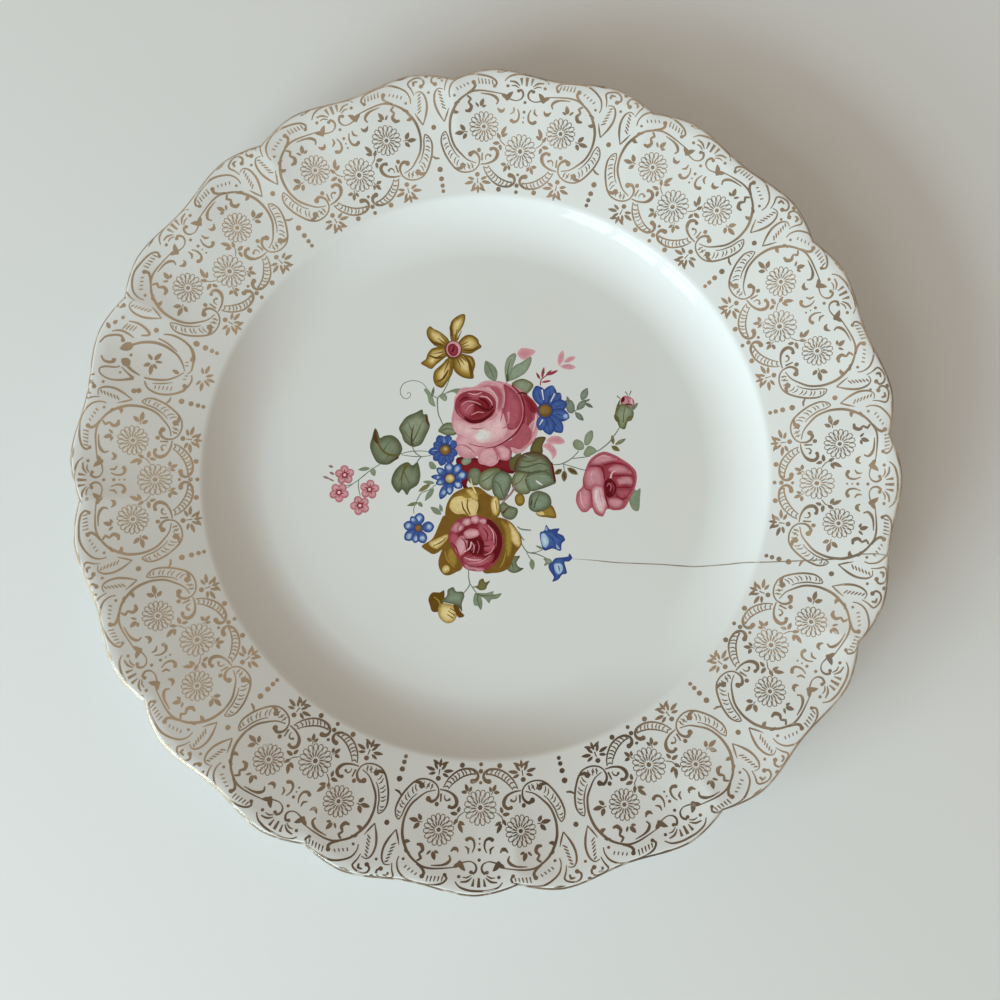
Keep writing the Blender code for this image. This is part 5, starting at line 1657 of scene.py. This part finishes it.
crackSizes = {
    "route": ((24.9, -29.6), (32.1, -30.7), (39.3, -32.0), (52.3, -33.6), (60.2, -34.8), (64.5, -35.3),
              (72.9, -35.4),
              (78.1, -35.3), (84.3, -35.7), (95.0, -36.2), (104.8, -36.5), (108.1, -36.0), (110.7, -35.7),
              (115.8, -36.0), (123.2, -38.3)),
    "stainEnd": (118.5, -36.85),             # just inside the lip
    "tipWidth": 0.08,
    "rimWidth": 0.24,
    "stainWidths": (0.10, 0.30, 0.34, 0.36, 0.36, 0.38, 0.40, 0.42, 0.42),
    "stainSink": 0.0003,
    "stainLift": 0.000012,
    "penStep": 0.8,
    "bladeMargin": 2.0,                      # how far the cutting blade stands out, in millimetres
    "stainDark": (0.22, 0.175, 0.125, 1.0),
    "stainPale": (0.38, 0.34, 0.28, 1.0),
    "stainClouds": (300.0, 3.0, 0.3, 0.7),
    "stainRough": 0.45,
    "roughUneven": 0.3,
}


def stainFinish():
    look = crackSizes
    material, graph = newFinish("crack_stain")
    place = graph.add("ShaderNodeTexCoord").out("Object")
    uneven = clouds(graph, place, *look["stainClouds"])
    colour = graph.blend(uneven, look["stainDark"], look["stainPale"])
    return endFinish(material, graph, {
        "Base Color": colour, "Roughness": look["stainRough"] + uneven * look["roughUneven"],
    })


def cutCrack(piece, stain):
    # cuts the piece along the crack and stains the faces of the cut
    margin = crackSizes["bladeMargin"]
    route = list(crackSizes["route"])
    last = len(route) - 1
    reach = (plateSizes["lobeRadius"] / millimetre + margin) / math.hypot(*route[last])
    route[last] = (route[last][0] * reach, route[last][1] * reach)
    halves = [(crackSizes["tipWidth"] + (crackSizes["rimWidth"] - crackSizes["tipWidth"]) * i / last) / 2
              for i in range(last + 1)]
    corners, faces = stripBody(route, halves, -margin, plateSizes["rimHeight"] / millimetre + margin)
    mesh = bpy.data.meshes.new("crack_blade")
    mesh.from_pydata([tuple(v * millimetre for v in corner) for corner in corners], [], faces)
    mesh.materials.append(stain)
    blade = helperObject("crack_blade", mesh)
    cut = piece.modifiers.new("hairline_crack", "BOOLEAN")
    cut.operation = "DIFFERENCE"
    cut.solver = "EXACT"
    cut.material_mode = "TRANSFER"
    cut.object = blade
    depsgraph = bpy.context.evaluated_depsgraph_get()
    opened = bpy.data.meshes.new_from_object(piece.evaluated_get(depsgraph), depsgraph=depsgraph)
    piece.modifiers.clear()
    piece.data = opened
    opened.set_sharp_from_angle(angle=math.radians(plateSizes["sharpAngle"]))
    bpy.data.objects.remove(blade, do_unlink=True)


print("opening the crack")
stain = stainFinish()
crackPen = Drawing(crackSizes["penStep"], False)
crackPen.line(crackSizes["route"][:-1] + (crackSizes["stainEnd"],), crackSizes["stainWidths"])
crackStain = growPiece("crackStain", laying, dict(
    borderValues, Drawing=crackPen.curveObject("crack_line"), Bent=0.0, Material=stain,
    Places=placesObject("crack_place", (0.0,)), Sink=crackSizes["stainSink"], Lift=crackSizes["stainLift"]))
cutCrack(plateBody, stain)

lipSizes = {"from": 12, "to": 66, "above": 0.000025, "below": 0.00004}


def lipLineSection():
    outer = plateSizes["lipThickness"] / 2 + lipSizes["above"]
    inner = plateSizes["lipThickness"] / 2 - lipSizes["below"]
    start, end = math.radians(lipSizes["from"]), math.radians(lipSizes["to"])
    steps = sectionSteps["lipLine"]
    loop = arcPoints(lipCentre, inner, start, end, steps) + arcPoints(lipCentre, outer, end, start, steps)
    return loop + loop[:1]


print("gilding the lip")
# the lip's gold has the same painted highlight and painted shade by side as the border
lipGilt = giltFinish("worn_lip_gilding_with_painted_light", 0.12)
lipLine = growPiece("lipLine", turning,
                    dict(turnedValues, Section=sectionObject("lip_section", lipLineSection()),
                         Material=lipGilt))


stageLook = {
    "floorColour": (0.78, 0.78, 0.76, 1.0),
    "floorRough": 0.8,
    "floorSide": 4.0,
    "worldColour": (0.430, 0.376, 0.318, 1.0),
    "worldStrength": 1.0,
    "paneSize": 0.25,
    "paneGap": 0.04,
    "paneColour": (0.72, 0.91, 1.0),
    "windowDistance": 1.7,
    "windows": (
        {"azimuth": 215, "elevation": 18, "columns": 4, "rows": 2, "watts": 36.5},
        {"azimuth": 225, "elevation": 39, "columns": 3, "rows": 2, "watts": 4.5},
    ),
}


def makeFloor():
    material, graph = newFinish("plain_floor")
    endFinish(material, graph,
              {"Base Color": stageLook["floorColour"], "Roughness": stageLook["floorRough"]})
    half = stageLook["floorSide"] / 2
    mesh = bpy.data.meshes.new("floor")
    mesh.from_pydata([(-half, -half, 0), (half, -half, 0), (half, half, 0), (-half, half, 0)], [],
                     [(0, 1, 2, 3)])
    mesh.materials.append(material)
    floor = helperObject("floor", mesh)


def makeWindow(window):
    # panes of soft light that face the plate
    azimuth, elevation = math.radians(window["azimuth"]), math.radians(window["elevation"])
    level = math.cos(elevation)
    out = Vector((level * math.cos(azimuth), level * math.sin(azimuth), math.sin(elevation)))
    aim = (-out).to_track_quat("-Z", "Y")
    pitch = stageLook["paneSize"] + stageLook["paneGap"]
    for column in range(window["columns"]):
        for row in range(window["rows"]):
            lamp = bpy.data.lights.new("window_pane", "AREA")
            lamp.shape = "SQUARE"
            lamp.size = stageLook["paneSize"]
            lamp.energy = window["watts"] / (window["columns"] * window["rows"])
            lamp.color = stageLook["paneColour"]
            pane = helperObject("window_pane", lamp)
            aside = Vector((column - (window["columns"] - 1) / 2, row - (window["rows"] - 1) / 2,
                            0)) * pitch
            pane.location = out * stageLook["windowDistance"] + aim @ aside
            pane.rotation_euler = aim.to_euler()


def makeWorld():
    world = bpy.data.worlds.new("soft_room")
    world.use_nodes = True
    world.node_tree.nodes.clear()
    graph = Graph(world.node_tree)
    shade = graph.add("ShaderNodeBackground", inputs={
        "Color": stageLook["worldColour"], "Strength": stageLook["worldStrength"],
    })
    graph.add("ShaderNodeOutputWorld", inputs={"Surface": shade})
    bpy.context.scene.world = world


cameraView = {
    "place": (0.00367, -0.0372, 0.31774),
    "turn": (5.138, 0.392, -4.644),
    "lens": 35.3,
    "sensor": 36.0,
}


def makeCamera():
    camera = bpy.data.cameras.new("camera")
    camera.lens = cameraView["lens"]
    camera.sensor_width = cameraView["sensor"]
    holder = helperObject("camera", camera)
    holder.location = cameraView["place"]
    holder.rotation_euler = [math.radians(angle) for angle in cameraView["turn"]]
    bpy.context.scene.camera = holder


print("setting the stage")
makeFloor()
for window in stageLook["windows"]:
    makeWindow(window)
makeWorld()
makeCamera()
bpy.context.scene.view_settings.view_transform = "Standard"

for helper in ("body_section", "whole_plate", "cartouche_strokes", "goldBorderUpper_places",
               "goldBorderLower_places", "filler_strokes",
               "filler_place", "crack_line", "crack_place", "lip_section"):
    bpy.data.objects.remove(bpy.data.objects[helper], do_unlink=True)

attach(plateBody, "root")
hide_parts("plate")
slots = [(piece, "gilding") for piece in borderPieces]
slots += [(goldFiller, "gilding"), (lipLine, "gilding"), (flowerSpray, "print"), (crackStain, "glaze")]
for piece, slot in slots:
    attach(piece, "root")
